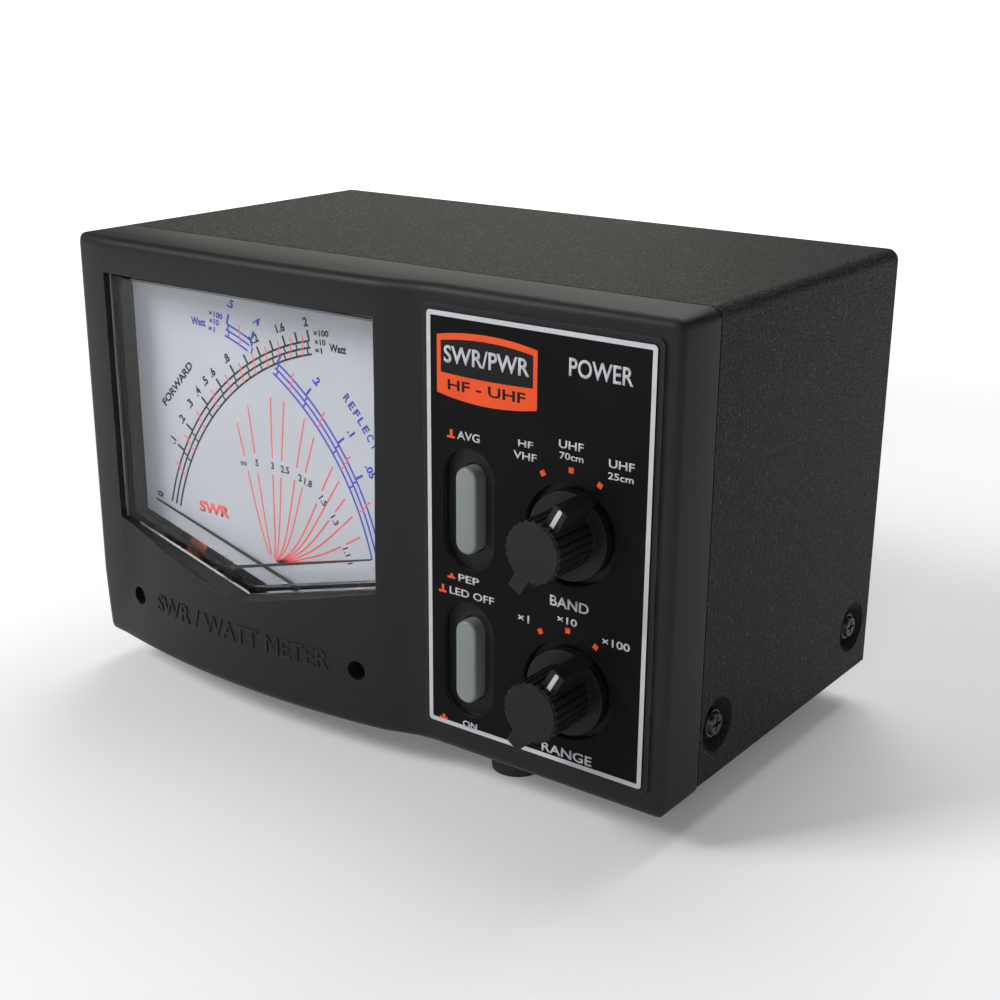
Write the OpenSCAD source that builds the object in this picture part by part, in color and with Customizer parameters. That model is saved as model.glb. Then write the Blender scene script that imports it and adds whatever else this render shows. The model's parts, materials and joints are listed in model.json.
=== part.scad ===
// Cross-needle SWR and power meter for an amateur radio station, modelled as its separate pieces.
// The part's frame: X to the right, Y to the back, Z up, origin on the floor under the middle of the box.
// The modules work in the face frame: Y from the label's front, Z from the lower edge of the sheet cover.

/* [Case] */
// Width of the case
case_width = 155; // [130:0.5:180]
// Height of the cover above its own lower edge
case_top = 94; // [80:0.5:110]
// Depth from the label's front to the cover's rear edge
case_depth = 90.3; // [80:0.1:110]
// How far the front panel and the bottom plate reach below the cover's edge
under_edge = 2; // [1:0.5:4]
// Height of the rubber feet
foot_height = 7; // [4:0.5:12]
// Radius of the rubber feet
foot_r = 6; // [4:0.5:9]
// Feet's distance from the middle line
foot_x = 34.5; // [20:0.5:65]
// Thickness of the cover's sheet
cover_t = 1; // [0.8:0.1:1.6]
// Thickness of the chassis sheet
chassis_t = 1.2; // [0.8:0.1:2]
// Gap between the cover and the front panel
seam = 0.35; // [0.1:0.05:0.8]

/* [Front panel] */
// Depth of the moulded front panel
fascia_depth = 14; // [11:0.5:18]
// Setback of the plain front behind the label's front
plain_face = 0.9; // [0.5:0.1:1.5]
// Corner radius of the case seen from the front
corner_r = 2.4; // [1:0.1:5]
// Radius of the front edges
edge_r = 2.2; // [1:0.1:4]
// Forward reach of the frame around the window
frame_rise = 2.1; // [1:0.1:4]
// Forward reach of the rounded chin below the window
chin_rise = 5.8; // [3:0.1:8]

/* [Control label] */
// Left edge of the label
label_left = 22.5; // [20:0.1:26]
// Right edge of the label
label_right = 73.2; // [68:0.1:75]
// Lower edge of the label
label_low = 4.1; // [2:0.1:8]
// Upper edge of the label
label_high = 89.3; // [80:0.1:92]
// Thickness of the label
label_t = 0.3; // [0.2:0.05:0.6]

/* [Controls] */
// Knobs' distance to the right of the middle
knob_x = 56; // [50:0.1:62]
// Buttons' distance to the right of the middle
button_x = 32.6; // [28:0.1:36]
// Height of the upper control row
upper_row = 51.2; // [45:0.1:58]
// Height of the lower control row
lower_row = 19.6; // [14:0.1:26]
// Angle between two switch positions
index_angle = 30; // [20:1:45]
// Radius of the round well behind a knob
well_r = 10; // [9:0.1:11]
// Radius of a knob's skirt
skirt_r = 8.6; // [7:0.1:9.5]
// Radius of a knob's fluted body
knob_r = 6; // [5:0.1:7]
// Reach of a knob in front of the label
knob_reach = 12.2; // [9:0.1:16]
// Radius of a switch shaft
shaft_r = 3; // [2:0.5:3.2]
// Width of a push button
button_w = 5; // [4:0.1:7]
// Height of a push button
button_h = 17.6; // [14:0.1:20]
// Travel of a push button
button_travel = 2.5; // [1:0.1:3]

/* [Meter] */
// Middle of the window from the middle of the case
meter_x = -28.7; // [-32:0.1:-24]
// Half the width of the window
win_half = 39; // [34:0.1:42]
// Upper edge of the window
win_top = 86.2; // [80:0.1:88]
// Where the window's sides end and its V begins
win_side = 29.3; // [24:0.1:36]
// Point of the V
win_point = 18.7; // [14:0.1:24]
// Half the distance between the two needle pivots
pivot_half = 28; // [24:0.1:32]
// Height of the two pivots
pivot_z = 17.2; // [14:0.1:22]
// Length of a needle from its pivot
needle_length = 63; // [55:0.5:66]
// Angle of a needle at zero above the horizontal
zero_angle = 15; // [10:0.5:20]

/* [Rear] */
// Sockets' distance from the middle line
socket_x = 24; // [18:0.5:30]
// Height of the HF sockets
hf_z = 66; // [55:0.5:72]
// Height of the UHF sockets
uhf_z = 27; // [22:0.5:34]
// Radius of the sockets' outer thread
socket_thread_r = 7.94; // [7.5:0.01:8.2]
// Distance of the power jack from the middle line
jack_x = 62; // [52:0.5:66]
// Height of the power jack
jack_z = 27; // [18:0.5:40]

/* [Hidden] */
$fn = 48;
tiny = 0.01;
half_w = case_width / 2;
socket_end = 103.6;
face_y = -(socket_end - knob_reach) / 2;
deck_z = under_edge + foot_height;
rows = [lower_row, upper_row];
back_panel_y = 88;
sides = [-1, 1];
// Surfaces behind the front of the meter, front to back
pane_back = 1.6;
flange_front = 1.8;
flange_back = 3.3;
dial_y = 7.6;
dial_t = 0.8;
case_flange_back = 11;
case_back = 34;
board_y = 38;
board_t = 1.6;
hf_box_front = 56;
uhf_box_front = 64;
foot_rows = [14.5, 78];
// Zero adjusters, measured from their pivot
adjust_x = 6;
adjust_z = -6.2;
pin_throw = 1;
// Corner points of the meter's fixing lugs
lug_x = 43.6;
lug_rows = [12, 80];
corner_rows = [4.5, 87.5];
corner_x = 72.6;
// Cover screws
dimple_r = 5.8;
dimple_depth = 2;
dimple_z = 10.8;
dimple_rows = [21, 82];
bracket_y = 9;
bracket_screws_at = [[25.5, 5.8], [67, 5.8], [25.5, 86.5], [67, 86.5]];
socket_screw_pitch = 9.1;
charcoal = [0.12, 0.12, 0.13];
black = [0.06, 0.06, 0.07];
steel = [0.62, 0.63, 0.64];
brass = [0.78, 0.6, 0.28];
silver = [0.8, 0.8, 0.78];
board_green = [0.1, 0.32, 0.16];

// Places a piece made in the face frame
module at_face() {
  translate([0, face_y, deck_z]) children();
}

// A plate standing across Y, from a flat outline in X and Z
module plate_y(front, back) {
  translate([0, back, 0]) rotate([90, 0, 0]) linear_extrude(height = back - front) children();
}

// A round bar along Y
module rod_y(r, front, back) {
  translate([0, front, 0]) rotate([-90, 0, 0]) cylinder(h = back - front, r = r);
}

// A round bar along X
module rod_x(r, left, right) {
  translate([left, 0, 0]) rotate([0, 90, 0]) cylinder(h = right - left, r = r);
}

module box(low, high) {
  translate(low) cube(high - low);
}

// An upright outline with round corners
module round_rect(x0, x1, z0, z1, r) {
  translate([x0 + r, z0]) square([x1 - x0 - 2 * r, z1 - z0]);
  translate([x0, z0 + r]) square([x1 - x0, z1 - z0 - 2 * r]);
  for (x = [x0 + r, x1 - r], z = [z0 + r, z1 - r]) translate([x, z]) circle(r = r);
}

// A slot with round ends, w wide and h tall
module pill(w, h) {
  square([w, h - w], center = true);
  for (s = sides) translate([0, s * (h - w) / 2]) circle(r = w / 2);
}

// The window's outline, grown outwards by g
module window_outline(g) {
  slope = (win_side - win_point) / win_half;
  drop = g * sqrt(1 + slope * slope);
  side = win_half + g;
  translate([meter_x, 0]) polygon([
    [-side, win_top + g], [-side, win_point + slope * side - drop], [0, win_point - drop],
    [side, win_point + slope * side - drop], [side, win_top + g]
  ]);
}

// ---- front panel ----

// Setback of a rounded front edge of radius r at distance d from the border
function rounding(d, r) = d >= r ? 0 : d < 0 ? 1.6 * r : r - sqrt(r * r - (r - d) * (r - d));

function ease(t) = t <= 0 ? 0 : t >= 1 ? 1 : t * t * (3 - 2 * t);

// Forward reach of the front at a point: a frame round the window, a rounder chin below it
function meter_reach(x, z) =
  let (frame = frame_rise - 1.2 * ease((-66 - x) / 11.5))
  let (chin = chin_rise - pow(x + 24, 2) / 430)
  let (share = 1 - 0.75 * ease((z - 31) / 40))
  max(frame * ease((z + 2) / 16), frame + (chin - frame) * share, 0.1);

function front_y(x, z) =
  plain_face - meter_reach(x, z) * ease((24 - x) / 14)
  + rounding(min(x + half_w, half_w - x), edge_r)
  + rounding(min(z + under_edge, case_top - z), edge_r);

// The front's curved face with a block behind it, a little larger than the panel all round
module fascia_block() {
  over = 0.7;
  rims = [-over, 0.07, 0.3, 0.7, 1.3, edge_r];
  xs = concat([for (d = rims) d - half_w], [for (x = [-71.4:3.6:26]) x], [48, 66],
              [for (i = [5:-1:0]) half_w - rims[i]]);
  zs = concat([for (d = rims) d - under_edge], [7, 14, 22, 31, 40, 50, 60, 71, 82],
              [for (i = [5:-1:0]) case_top - rims[i]]);
  behind = fascia_depth + 2;
  nx = len(xs);
  nz = len(zs);
  last = nx * nz;
  points = concat([for (x = xs, z = zs) [x, front_y(x, z), z]],
                  [for (x = [xs[0], xs[nx - 1]], z = [zs[0], zs[nz - 1]]) [x, behind, z]]);
  front = [for (i = [0:nx - 2], j = [0:nz - 2], half = [0, 1])
    half == 0 ? [i * nz + j, i * nz + j + 1, (i + 1) * nz + j + 1]
              : [i * nz + j, (i + 1) * nz + j + 1, (i + 1) * nz + j]];
  left = concat([for (j = [0:nz - 1]) nz - 1 - j], [last, last + 1]);
  right = concat([for (j = [0:nz - 1]) (nx - 1) * nz + j], [last + 3, last + 2]);
  low = concat([for (i = [0:nx - 1]) i * nz], [last + 2, last]);
  high = concat([for (i = [0:nx - 1]) (nx - 1 - i) * nz + nz - 1], [last + 1, last + 3]);
  back = [last, last + 2, last + 3, last + 1];
  polyhedron(points, concat(front, [left, right, low, high, back]), convexity = 6);
}

module front_panel() {
  bay_low = 0.4;
  bay_high = 91.6;
  bay_side = 75.2;
  control_wall = 4.3;
  color(charcoal) at_face() difference() {
    union() {
      difference() {
        intersection() {
          fascia_block();
          plate_y(-10, fascia_depth) round_rect(-half_w, half_w, -under_edge, case_top, corner_r);
        }
        plate_y(flange_front, fascia_depth + 1) round_rect(-bay_side, 19.5, bay_low, bay_high, 1.5);
        plate_y(control_wall, fascia_depth + 1) round_rect(21.5, bay_side, bay_low, bay_high, 1.5);
        plate_y(-1.6, 2) round_rect(meter_x - 27, meter_x + 27, 2, 14, 1.5);
      }
      plate_y(plain_face - 0.6, 2) round_rect(label_left - 1.2, label_right + 1.2,
                                              label_low - 1.2, label_high + 1.2, 1.5);
      for (s = sides, z = corner_rows)
        translate([s * corner_x, 0, z]) rod_y(2, 1.5, fascia_depth);
      for (p = bracket_screws_at) translate([p[0], 0, p[1]]) rod_y(3, 4, bracket_y);
    }
    plate_y(-10, 3) window_outline(0);
    for (z = rows) {
      translate([button_x, 0, z]) {
        plate_y(-1, 1.8) pill(12, 24.7);
        plate_y(-1, 5) pill(button_w + 0.5, button_h + 0.5);
      }
      translate([knob_x, 0, z]) {
        rod_y(well_r, -1, 2.4);
        rod_y(4.9, 1, 5);
      }
    }
    for (s = sides) {
      translate([meter_x + s * (pivot_half + adjust_x), 0, pivot_z + adjust_z]) rod_y(2.15, -8, 3);
      for (z = lug_rows) translate([meter_x + s * lug_x, 0, z]) rod_y(1.15, 0.2, 3);
      for (z = corner_rows) translate([s * corner_x, 0, z]) rod_y(1.05, 6, fascia_depth + 1);
      translate([s * foot_x, foot_rows[0], -3]) cylinder(h = 6, r = 3);
    }
    for (p = bracket_screws_at) translate([p[0], 0, p[1]]) rod_y(1.25, 3, bracket_y + 1);
    box([-70.3, 3.7, -under_edge - 1], [70.3, fascia_depth + 1, -under_edge + chassis_t + 0.05]);
  }
}

module control_label() {
  color(black) at_face() difference() {
    plate_y(0, label_t) round_rect(label_left, label_right, label_low, label_high, 0.8);
    for (z = rows) {
      translate([button_x, 0, z]) plate_y(-1, 1) pill(12.2, 24.9);
      translate([knob_x, 0, z]) rod_y(well_r + 0.1, -1, 1);
    }
  }
}

// ---- case ----

// Pressed-in seat for a side screw, its axis along Z and its rim at the origin
module dimple(r, depth, t, hole_r) {
  rotate_extrude() polygon([
    [hole_r, -depth], [r - 2.1, -depth], [r, 0], [r + 1, 0], [r + 1, -t], [r + 0.4, -t],
    [r - 1.7, -depth - t], [hole_r, -depth - t]
  ]);
}

// Puts a shape made along Z on each side screw's place, Z pointing out of the side at x
module at_side_screws(x) {
  for (s = sides, y = dimple_rows)
    translate([s * x, y, dimple_z]) rotate([0, s * 90, 0]) children();
}

module cover() {
  color([0.13, 0.13, 0.12]) at_face() {
    difference() {
      plate_y(fascia_depth + seam, case_depth) difference() {
        round_rect(-half_w, half_w, -10, case_top, corner_r);
        round_rect(-half_w + cover_t, half_w - cover_t, -11, case_top - cover_t, corner_r - cover_t);
        translate([-half_w - 1, -20]) square([case_width + 2, 20]);
      }
      at_side_screws(half_w) translate([0, 0, -3]) cylinder(h = 6, r = dimple_r + 0.8);
    }
    at_side_screws(half_w) dimple(dimple_r, dimple_depth, cover_t, 1.7);
  }
}

module chassis() {
  outer = 76.3;
  flange_top = 18;
  top_z = case_top - cover_t - 0.1;
  seat_depth = 1.9;
  color(steel) at_face() {
    difference() {
      union() {
        plate_y(fascia_depth + seam, back_panel_y) difference() {
          round_rect(-outer, outer, -under_edge, 40, 2);
          round_rect(-outer + chassis_t, outer - chassis_t, -under_edge + chassis_t, 41, 1);
          translate([-outer - 1, flange_top]) square([2 * outer + 2, 30]);
        }
        box([-70, 4, -under_edge], [70, fascia_depth + seam + 1, -under_edge + chassis_t]);
        plate_y(back_panel_y, back_panel_y + chassis_t) round_rect(-outer, outer, -under_edge, top_z, 1.5);
        box([-75, back_panel_y - 9, top_z - chassis_t], [75, back_panel_y + tiny, top_z]);
        for (s = sides) {
          scale_x = s * outer;
          box([min(scale_x, scale_x - s * chassis_t), fascia_depth + seam, flange_top - 1],
              [max(scale_x, scale_x - s * chassis_t), 24, 91]);
          for (z = corner_rows)
            box([min(scale_x, s * 70.6), fascia_depth + seam, z - 3.4],
                [max(scale_x, s * 70.6), fascia_depth + seam + chassis_t, z + 3.4]);
        }
      }
      at_side_screws(outer) translate([0, 0, -1.5]) cylinder(h = 6, r = dimple_r + 1.1);
      for (s = sides, z = corner_rows) translate([s * corner_x, 0, z]) rod_y(1.3, 10, 20);
      for (s = sides, y = foot_rows) translate([s * foot_x, y, -4]) cylinder(h = 5, r = 1.5);
      for (s = sides, z = [hf_z, uhf_z]) translate([s * socket_x, 0, z]) {
        rod_y(6.1, 80, 95);
        for (i = sides, j = sides)
          translate([i * socket_screw_pitch, 0, j * socket_screw_pitch]) rod_y(1.6, 80, 95);
      }
      translate([jack_x, 0, jack_z]) rod_y(4.1, 80, 95);
    }
    at_side_screws(outer) dimple(dimple_r + 0.4, seat_depth, chassis_t, 1.5);
  }
}

// A pan head screw, its head from the origin up along Z
module pan_screw(head_r, head_h, shank_r, length) {
  difference() {
    union() {
      cylinder(h = head_h * 0.55, r = head_r);
      cylinder(h = head_h, r1 = head_r, r2 = head_r * 0.72);
    }
    for (a = [0, 90]) rotate([0, 0, a])
      translate([-head_r * 0.55, -0.3, head_h - 1]) cube([head_r * 1.1, 0.6, 2]);
  }
  translate([0, 0, -length]) cylinder(h = length + tiny, r = shank_r);
}

module cover_screws() {
  color(black) at_face()
    at_side_screws(half_w - dimple_depth) pan_screw(2.9, 1.9, 1.45, 5);
}

module panel_screws() {
  color(black) at_face()
    for (s = sides, z = corner_rows) translate([s * corner_x, fascia_depth + seam + chassis_t, z])
      rotate([-90, 0, 0]) pan_screw(2, 1.5, 0.95, 8);
}

module rubber_feet() {
  head_seat = -under_edge - 3.4;
  color([0.05, 0.05, 0.05]) at_face()
    for (s = sides, y = foot_rows) translate([s * foot_x, y, 0]) difference() {
      translate([0, 0, -deck_z]) cylinder(h = foot_height, r1 = foot_r - 0.6, r2 = foot_r);
      translate([0, 0, -deck_z - 1]) cylinder(h = head_seat + deck_z + 1, r = 3.4);
      translate([0, 0, -deck_z]) cylinder(h = 20, r = 1.6);
    }
}

module foot_screws() {
  color(steel) at_face()
    for (s = sides, y = foot_rows) translate([s * foot_x, y, -under_edge - 3.4])
      rotate([180, 0, 0]) pan_screw(2.8, 1.8, 1.45, 7.4);
}

// ---- meter housing ----

// Outline shared by the window's flange, the dial frame and the meter case's flange
module meter_outline() {
  round_rect(meter_x - 41.8, meter_x + 41.8, 3.2, 89.8, 1.5);
  for (s = sides, z = lug_rows) translate([meter_x + s * lug_x, z]) circle(r = 2.6);
}

module meter_fixing_holes() {
  for (s = sides, z = lug_rows) translate([meter_x + s * lug_x, 0, z]) rod_y(1.25, -3, 20);
}

module meter_window() {
  wall = 1.4;
  color([0.85, 0.9, 0.92, 0.35]) at_face() difference() {
    union() {
      plate_y(0, flange_back) window_outline(-0.15);
      plate_y(flange_front, flange_back) meter_outline();
    }
    plate_y(pane_back, flange_back + 1) window_outline(-0.15 - wall);
    meter_fixing_holes();
    for (s = sides)
      translate([meter_x + s * (pivot_half + adjust_x), 0, pivot_z + adjust_z]) rod_y(1.55, -1, 5);
  }
}

module dial_frame() {
  color(black) at_face() difference() {
    plate_y(flange_back, dial_y) meter_outline();
    plate_y(flange_back - 1, dial_y + 1) round_rect(meter_x - win_half, meter_x + win_half, 5.2, 86.4, 1);
    meter_fixing_holes();
  }
}

// The dial's lower edge follows the window, so the two movements stand below it
module dial_plate() {
  half = 40.4;
  slope = (win_side - win_point) / win_half;
  color([0.93, 0.94, 0.96]) at_face()
    plate_y(dial_y, dial_y + dial_t) translate([meter_x, 0]) polygon([
      [-half, 87.5], [-half, win_point + slope * half], [0, win_point],
      [half, win_point + slope * half], [half, 87.5]
    ]);
}

module meter_case() {
  inner = 39.4;
  color(black) at_face() difference() {
    union() {
      plate_y(dial_y, case_flange_back) meter_outline();
      plate_y(dial_y, case_back) round_rect(meter_x - 41.3, meter_x + 41.3, 3.2, 89.8, 1.5);
    }
    plate_y(dial_y - 1, dial_y + dial_t) round_rect(meter_x - 40.5, meter_x + 40.5, 5, 87.6, 0.5);
    plate_y(dial_y, case_back - 1.8) round_rect(meter_x - inner, meter_x + inner, 5, 86.6, 1);
    meter_fixing_holes();
    for (x = [-20, 0, 20]) translate([meter_x + x, 0, 12]) rod_y(1.3, 30, 40);
    for (s = sides, z = [20, 76]) translate([meter_x + s * 34, 0, z]) rod_y(1.2, 30, 40);
    translate([meter_x, 0, 60]) rod_y(3, 30, 40);
  }
}

module meter_screws() {
  color(steel) at_face() for (s = sides, z = lug_rows)
    translate([meter_x + s * lug_x, case_flange_back, z]) rotate([-90, 0, 0])
      pan_screw(2.05, 1.4, 1.05, case_flange_back - 0.6);
}

module movement_frame() {
  color(silver) at_face() {
    difference() {
      union() {
        plate_y(27, 29) round_rect(meter_x - 38, meter_x + 38, 6.5, 28, 3);
        for (x = [-20, 0, 20]) translate([meter_x + x, 0, 12]) rod_y(2.4, 28, case_back - 1.8);
        for (s = sides, a = [45, 225]) translate([meter_x + s * pivot_half, 0, pivot_z])
          rotate([0, s > 0 ? a - 90 : -a, 0]) translate([9.7, 0, 0]) rod_y(1.2, 23, 28);
      }
      for (s = sides) translate([meter_x + s * pivot_half, 0, pivot_z]) rod_y(0.65, 20, 35);
      for (x = [-20, 0, 20]) translate([meter_x + x, 0, 12]) rod_y(1, 30, 40);
    }
  }
}

// ---- the two movements; side is -1 for the reflected one on the left, 1 for the forward one ----

// Places a shape made round the origin on a pivot; the right one is the left one mirrored
module at_pivot(side) {
  at_face() translate([meter_x + side * pivot_half, 0, pivot_z])
    mirror([side > 0 ? 1 : 0, 0, 0]) children();
}

// Turns a shape that points along X up by an angle
module turned(angle) {
  rotate([0, -angle, 0]) children();
}

module yoke(side) {
  color(steel) at_pivot(side) difference() {
    rod_y(11, 13, 23);
    rod_y(8.4, 12, 24);
  }
}

module core(side) {
  spoke = 1.5;
  color([0.45, 0.46, 0.48]) at_pivot(side) difference() {
    union() {
      rod_y(5.6, 12, 23);
      intersection() {
        box([-9, 14, -spoke], [9, 22, spoke]);
        rod_y(8.4, 13, 23);
      }
    }
    rod_y(1.2, 10, 25);
  }
}

module bridge(side) {
  strap = 1.6;
  post_at = 9.7;
  color(brass) at_pivot(side) turned(135) difference() {
    union() {
      box([-post_at, 6, -strap], [post_at, 7.2, strap]);
      for (s = sides) translate([s * post_at, 0, 0]) {
        rod_y(strap, 6, 7.2);
        rod_y(1.2, 7, 13);
      }
      rod_y(2.4, 6, 8.4);
    }
    rod_y(0.65, 4, 10);
  }
}

module staff(side) {
  color(steel) at_pivot(side) {
    rod_y(0.6, 3.7, 28.8);
    rod_y(1.3, 8.6, 9.4);
  }
}

module coil(side) {
  reach = 7.7;
  bore = 6.3;
  half_t = 2.5;
  color([0.75, 0.4, 0.18]) at_pivot(side) turned(zero_angle + 45) difference() {
    box([-reach, 9.8, -half_t], [reach, 25.4, half_t]);
    box([-bore, 11.2, -half_t - 1], [bore, 24, half_t + 1]);
    rod_y(0.6, 9, 27);
  }
}

module needle(side, front) {
  t = 0.4;
  hub_r = 1.8;
  color(black) at_pivot(side) turned(zero_angle) difference() {
    union() {
      plate_y(front, front + t)
        polygon([[-5.4, -0.45], [0, -0.45], [needle_length, -0.14],
                 [needle_length, 0.14], [0, 0.45], [-5.4, 0.45]]);
      rod_y(hub_r, front - 0.2, front + t + 0.2);
      translate([-4.6, 0, 0]) rod_y(0.9, front - 0.15, front + t + 0.15);
    }
    rod_y(0.6, front - 2, front + 2);
  }
}

// A flat spiral between the staff's collet and the peg on the zero arm
module hairspring(side) {
  turns = 3;
  steps = 42;
  r0 = 1.36;
  r1 = 5.02;
  wire = 0.06;
  start = peg_angle(side) - 360 * turns;
  path = [for (i = [0:steps]) [r0 + (r1 - r0) * i / steps, start + 360 * turns * i / steps]];
  color([0.8, 0.62, 0.3]) at_pivot(side) plate_y(8.8, 9.2) polygon(concat(
    [for (p = path) (p[0] - wire) * [cos(p[1]), sin(p[1])]],
    [for (i = [steps:-1:0]) (path[i][0] + wire) * [cos(path[i][1]), sin(path[i][1])]]
  ));
}

// The adjuster lies down and away from the pivot; the spring's peg is opposite to it
function adjust_angle() = atan2(adjust_z, -adjust_x);
function peg_angle(side) = adjust_angle() + 180;

module zero_arm(side) {
  fork_end = 9;
  slot = 0.65;
  color(brass) at_pivot(side) turned(adjust_angle()) difference() {
    union() {
      rod_y(4, 7.45, 8.25);
      box([0, 7.45, -1.7], [fork_end, 8.25, 1.7]);
      box([-6, 7.45, -0.9], [0, 8.25, 0.9]);
      translate([-5.5, 0, 0]) rod_y(0.4, 8, 9.4);
    }
    rod_y(2.45, 7, 9);
    box([6.2, 7, -slot], [fork_end + 1, 9, slot]);
  }
}

module zero_screw(side) {
  color(black) at_pivot(side) translate([-adjust_x, 0, adjust_z]) difference() {
    union() {
      rod_y(1.9, 0.6, flange_front - 0.05);
      rod_y(1.5, 1, 3.6);
      rod_y(1.9, flange_back + 0.05, 3.9);
      turned(adjust_angle() + 180) translate([pin_throw, 0, 0]) rod_y(0.5, 3.5, 8.7);
    }
    box([-1.4, 0, -0.3], [1.4, 1.3, 0.3]);
  }
}

module lamp_board() {
  color(board_green) at_face()
    box([meter_x - 34, 12, 85.4], [meter_x + 34, 24, 86.6]);
}

module lamp_leds() {
  color([0.95, 0.95, 0.88]) at_face() for (x = [-24, 0, 24]) translate([meter_x + x, 16, 0]) {
    translate([0, 0, 82.8]) cylinder(h = 2.6, r = 1.5);
    translate([0, 0, 82.8]) sphere(r = 1.5);
    translate([0, 0, 84.4]) cylinder(h = 1, r = 1.9);
  }
}

// ---- knobs, switches and buttons ----

module at_control(x, z) {
  at_face() translate([x, 0, z]) children();
}

// Round with one flat, as the shaft's end and the knob's bore are
module d_bar(r, front, back) {
  intersection() {
    rod_y(r, front, back);
    box([-r - 1, front - 1, -r - 1], [r + 1, back + 1, r - 0.6]);
  }
}

module knob(z) {
  wing_r = 10.1;
  wing_w = 1.55;
  flutes = 24;
  wing_front = -10.5;
  skirt_front = -1;
  skirt_back = 1.2;
  color(black) at_control(knob_x, z) rotate([0, index_angle, 0]) difference() {
    union() {
      rod_y(knob_r - 0.45, -knob_reach, -2);
      difference() {
        rod_y(knob_r, -knob_reach + 0.3, skirt_back);
        for (i = [0:flutes - 1]) rotate([0, (i + 0.5) * 360 / flutes, 0])
          translate([knob_r + 0.15, 0, 0]) rod_y(0.45, -knob_reach - 1, skirt_front);
      }
      intersection() {
        box([-wing_w, wing_front, -wing_r - 1], [wing_w, skirt_front + 0.6, wing_r + 1]);
        rod_y(wing_r, wing_front, skirt_back);
      }
      rod_y(skirt_r, skirt_front, skirt_back);
    }
    d_bar(shaft_r, -8.6, skirt_back + 1);
  }
}

module band_knob() {
  knob(upper_row);
}

module range_knob() {
  knob(lower_row);
}

module switch_shaft(z) {
  color(silver) at_control(knob_x, z) rotate([0, index_angle, 0]) {
    d_bar(shaft_r, -8.6, 4);
    rod_y(shaft_r, 4, 19.5);
    rod_y(8, 15, 17);
  }
}

module band_shaft() {
  switch_shaft(upper_row);
}

module range_shaft() {
  switch_shaft(lower_row);
}

// Body of a rotary switch with its threaded bush and its ring of tags
module rotary_body(z) {
  color([0.2, 0.2, 0.22]) at_control(knob_x, z) {
    difference() {
      union() {
        rod_y(4.4, 4.9, 11);
        rod_y(12.5, bracket_y + chassis_t, 22);
        for (i = [0:11]) rotate([0, i * 30, 0]) translate([10, 0, 0]) rod_y(0.6, 21, 25);
      }
      rod_y(shaft_r + 0.06, 3, 20);
      rod_y(8.5, 14.6, 17.4);
    }
  }
}

module band_switch() {
  rotary_body(upper_row);
}

module range_switch() {
  rotary_body(lower_row);
}

module switch_nuts() {
  nut_r = 6.3;
  color(brass) for (z = rows) at_control(knob_x, z) difference() {
    translate([0, bracket_y - 2, 0]) rotate([-90, 0, 0]) cylinder(h = 2, r = nut_r, $fn = 6);
    rod_y(4.45, bracket_y - 3, bracket_y + 1);
  }
}

module control_bracket() {
  color(steel) at_face() difference() {
    plate_y(bracket_y, bracket_y + chassis_t) round_rect(22.6, 70.2, 2, 90.4, 2);
    for (z = rows) {
      translate([knob_x, 0, z]) rod_y(4.5, 5, 15);
      translate([button_x, 0, z]) box([-2, 5, -2], [2, 15, 2]);
    }
    for (p = bracket_screws_at) translate([p[0], 0, p[1]]) rod_y(1.6, 5, 15);
  }
}

module bracket_screws() {
  color(steel) at_face() for (p = bracket_screws_at)
    translate([p[0], bracket_y + chassis_t, p[1]]) rotate([-90, 0, 0]) pan_screw(2.7, 1.8, 1.2, 6);
}

// Key cap with its flange behind the panel and its plunger, one moulding
module push_button(z) {
  front = -1.2;
  plunger = 1.7;
  color([0.52, 0.55, 0.55]) at_control(button_x, z) {
    plate_y(front, 4.7) pill(button_w, button_h);
    plate_y(4.6, 5.6) pill(button_w + 2, button_h + 2);
    box([-plunger, 5, -plunger], [plunger, 17, plunger]);
    box([-2.6, 13, -2.6], [2.6, 14.4, 2.6]);
  }
}

module avg_pep_button() {
  push_button(upper_row);
}

module led_button() {
  push_button(lower_row);
}

module push_switches() {
  color([0.22, 0.22, 0.24]) for (z = rows) at_control(button_x, z) {
    difference() {
      box([-4.5, bracket_y + chassis_t, -4.5], [4.5, 27, 4.5]);
      box([-1.8, 5, -1.8], [1.8, 18, 1.8]);
      box([-2.75, 12.7, -2.75], [2.75, 25.4, 2.75]);
    }
    for (x = [-3, 3], h = [-3, 0, 3]) translate([x, 0, h]) rod_y(0.4, 26.5, 30);
  }
}

// A wire coil round the Y axis
module wire_coil(r, wire, turns, front, back) {
  around = 14;
  sides_n = 6;
  count = turns * around;
  points = [for (i = [0:count], j = [0:sides_n - 1])
    let (a = 360 * i / around, b = 360 * j / sides_n, q = r + wire * cos(b))
    [q * cos(a), front + wire + (back - front - 2 * wire) * i / count + wire * sin(b), q * sin(a)]];
  walls = [for (i = [0:count - 1], j = [0:sides_n - 1], half = [0, 1])
    let (k = (j + 1) % sides_n, p = i * sides_n, q = (i + 1) * sides_n)
    half == 0 ? [p + j, q + k, p + k] : [p + j, q + j, q + k]];
  polyhedron(points, concat(walls, [[for (j = [0:sides_n - 1]) j]],
    [[for (j = [sides_n - 1:-1:0]) count * sides_n + j]]), convexity = 8);
}

module button_springs() {
  color(steel) for (z = rows) at_control(button_x, z) wire_coil(1.3, 0.2, 6, 17, 25.4);
}

// ---- electronics ----

module main_board() {
  color(board_green) at_face() difference() {
    plate_y(board_y, board_y + board_t) round_rect(meter_x - 37, meter_x + 37, 14, 82, 1.5);
    for (s = sides, z = [20, 76]) translate([meter_x + s * 34, 0, z]) rod_y(1.3, 30, 45);
  }
}

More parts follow.
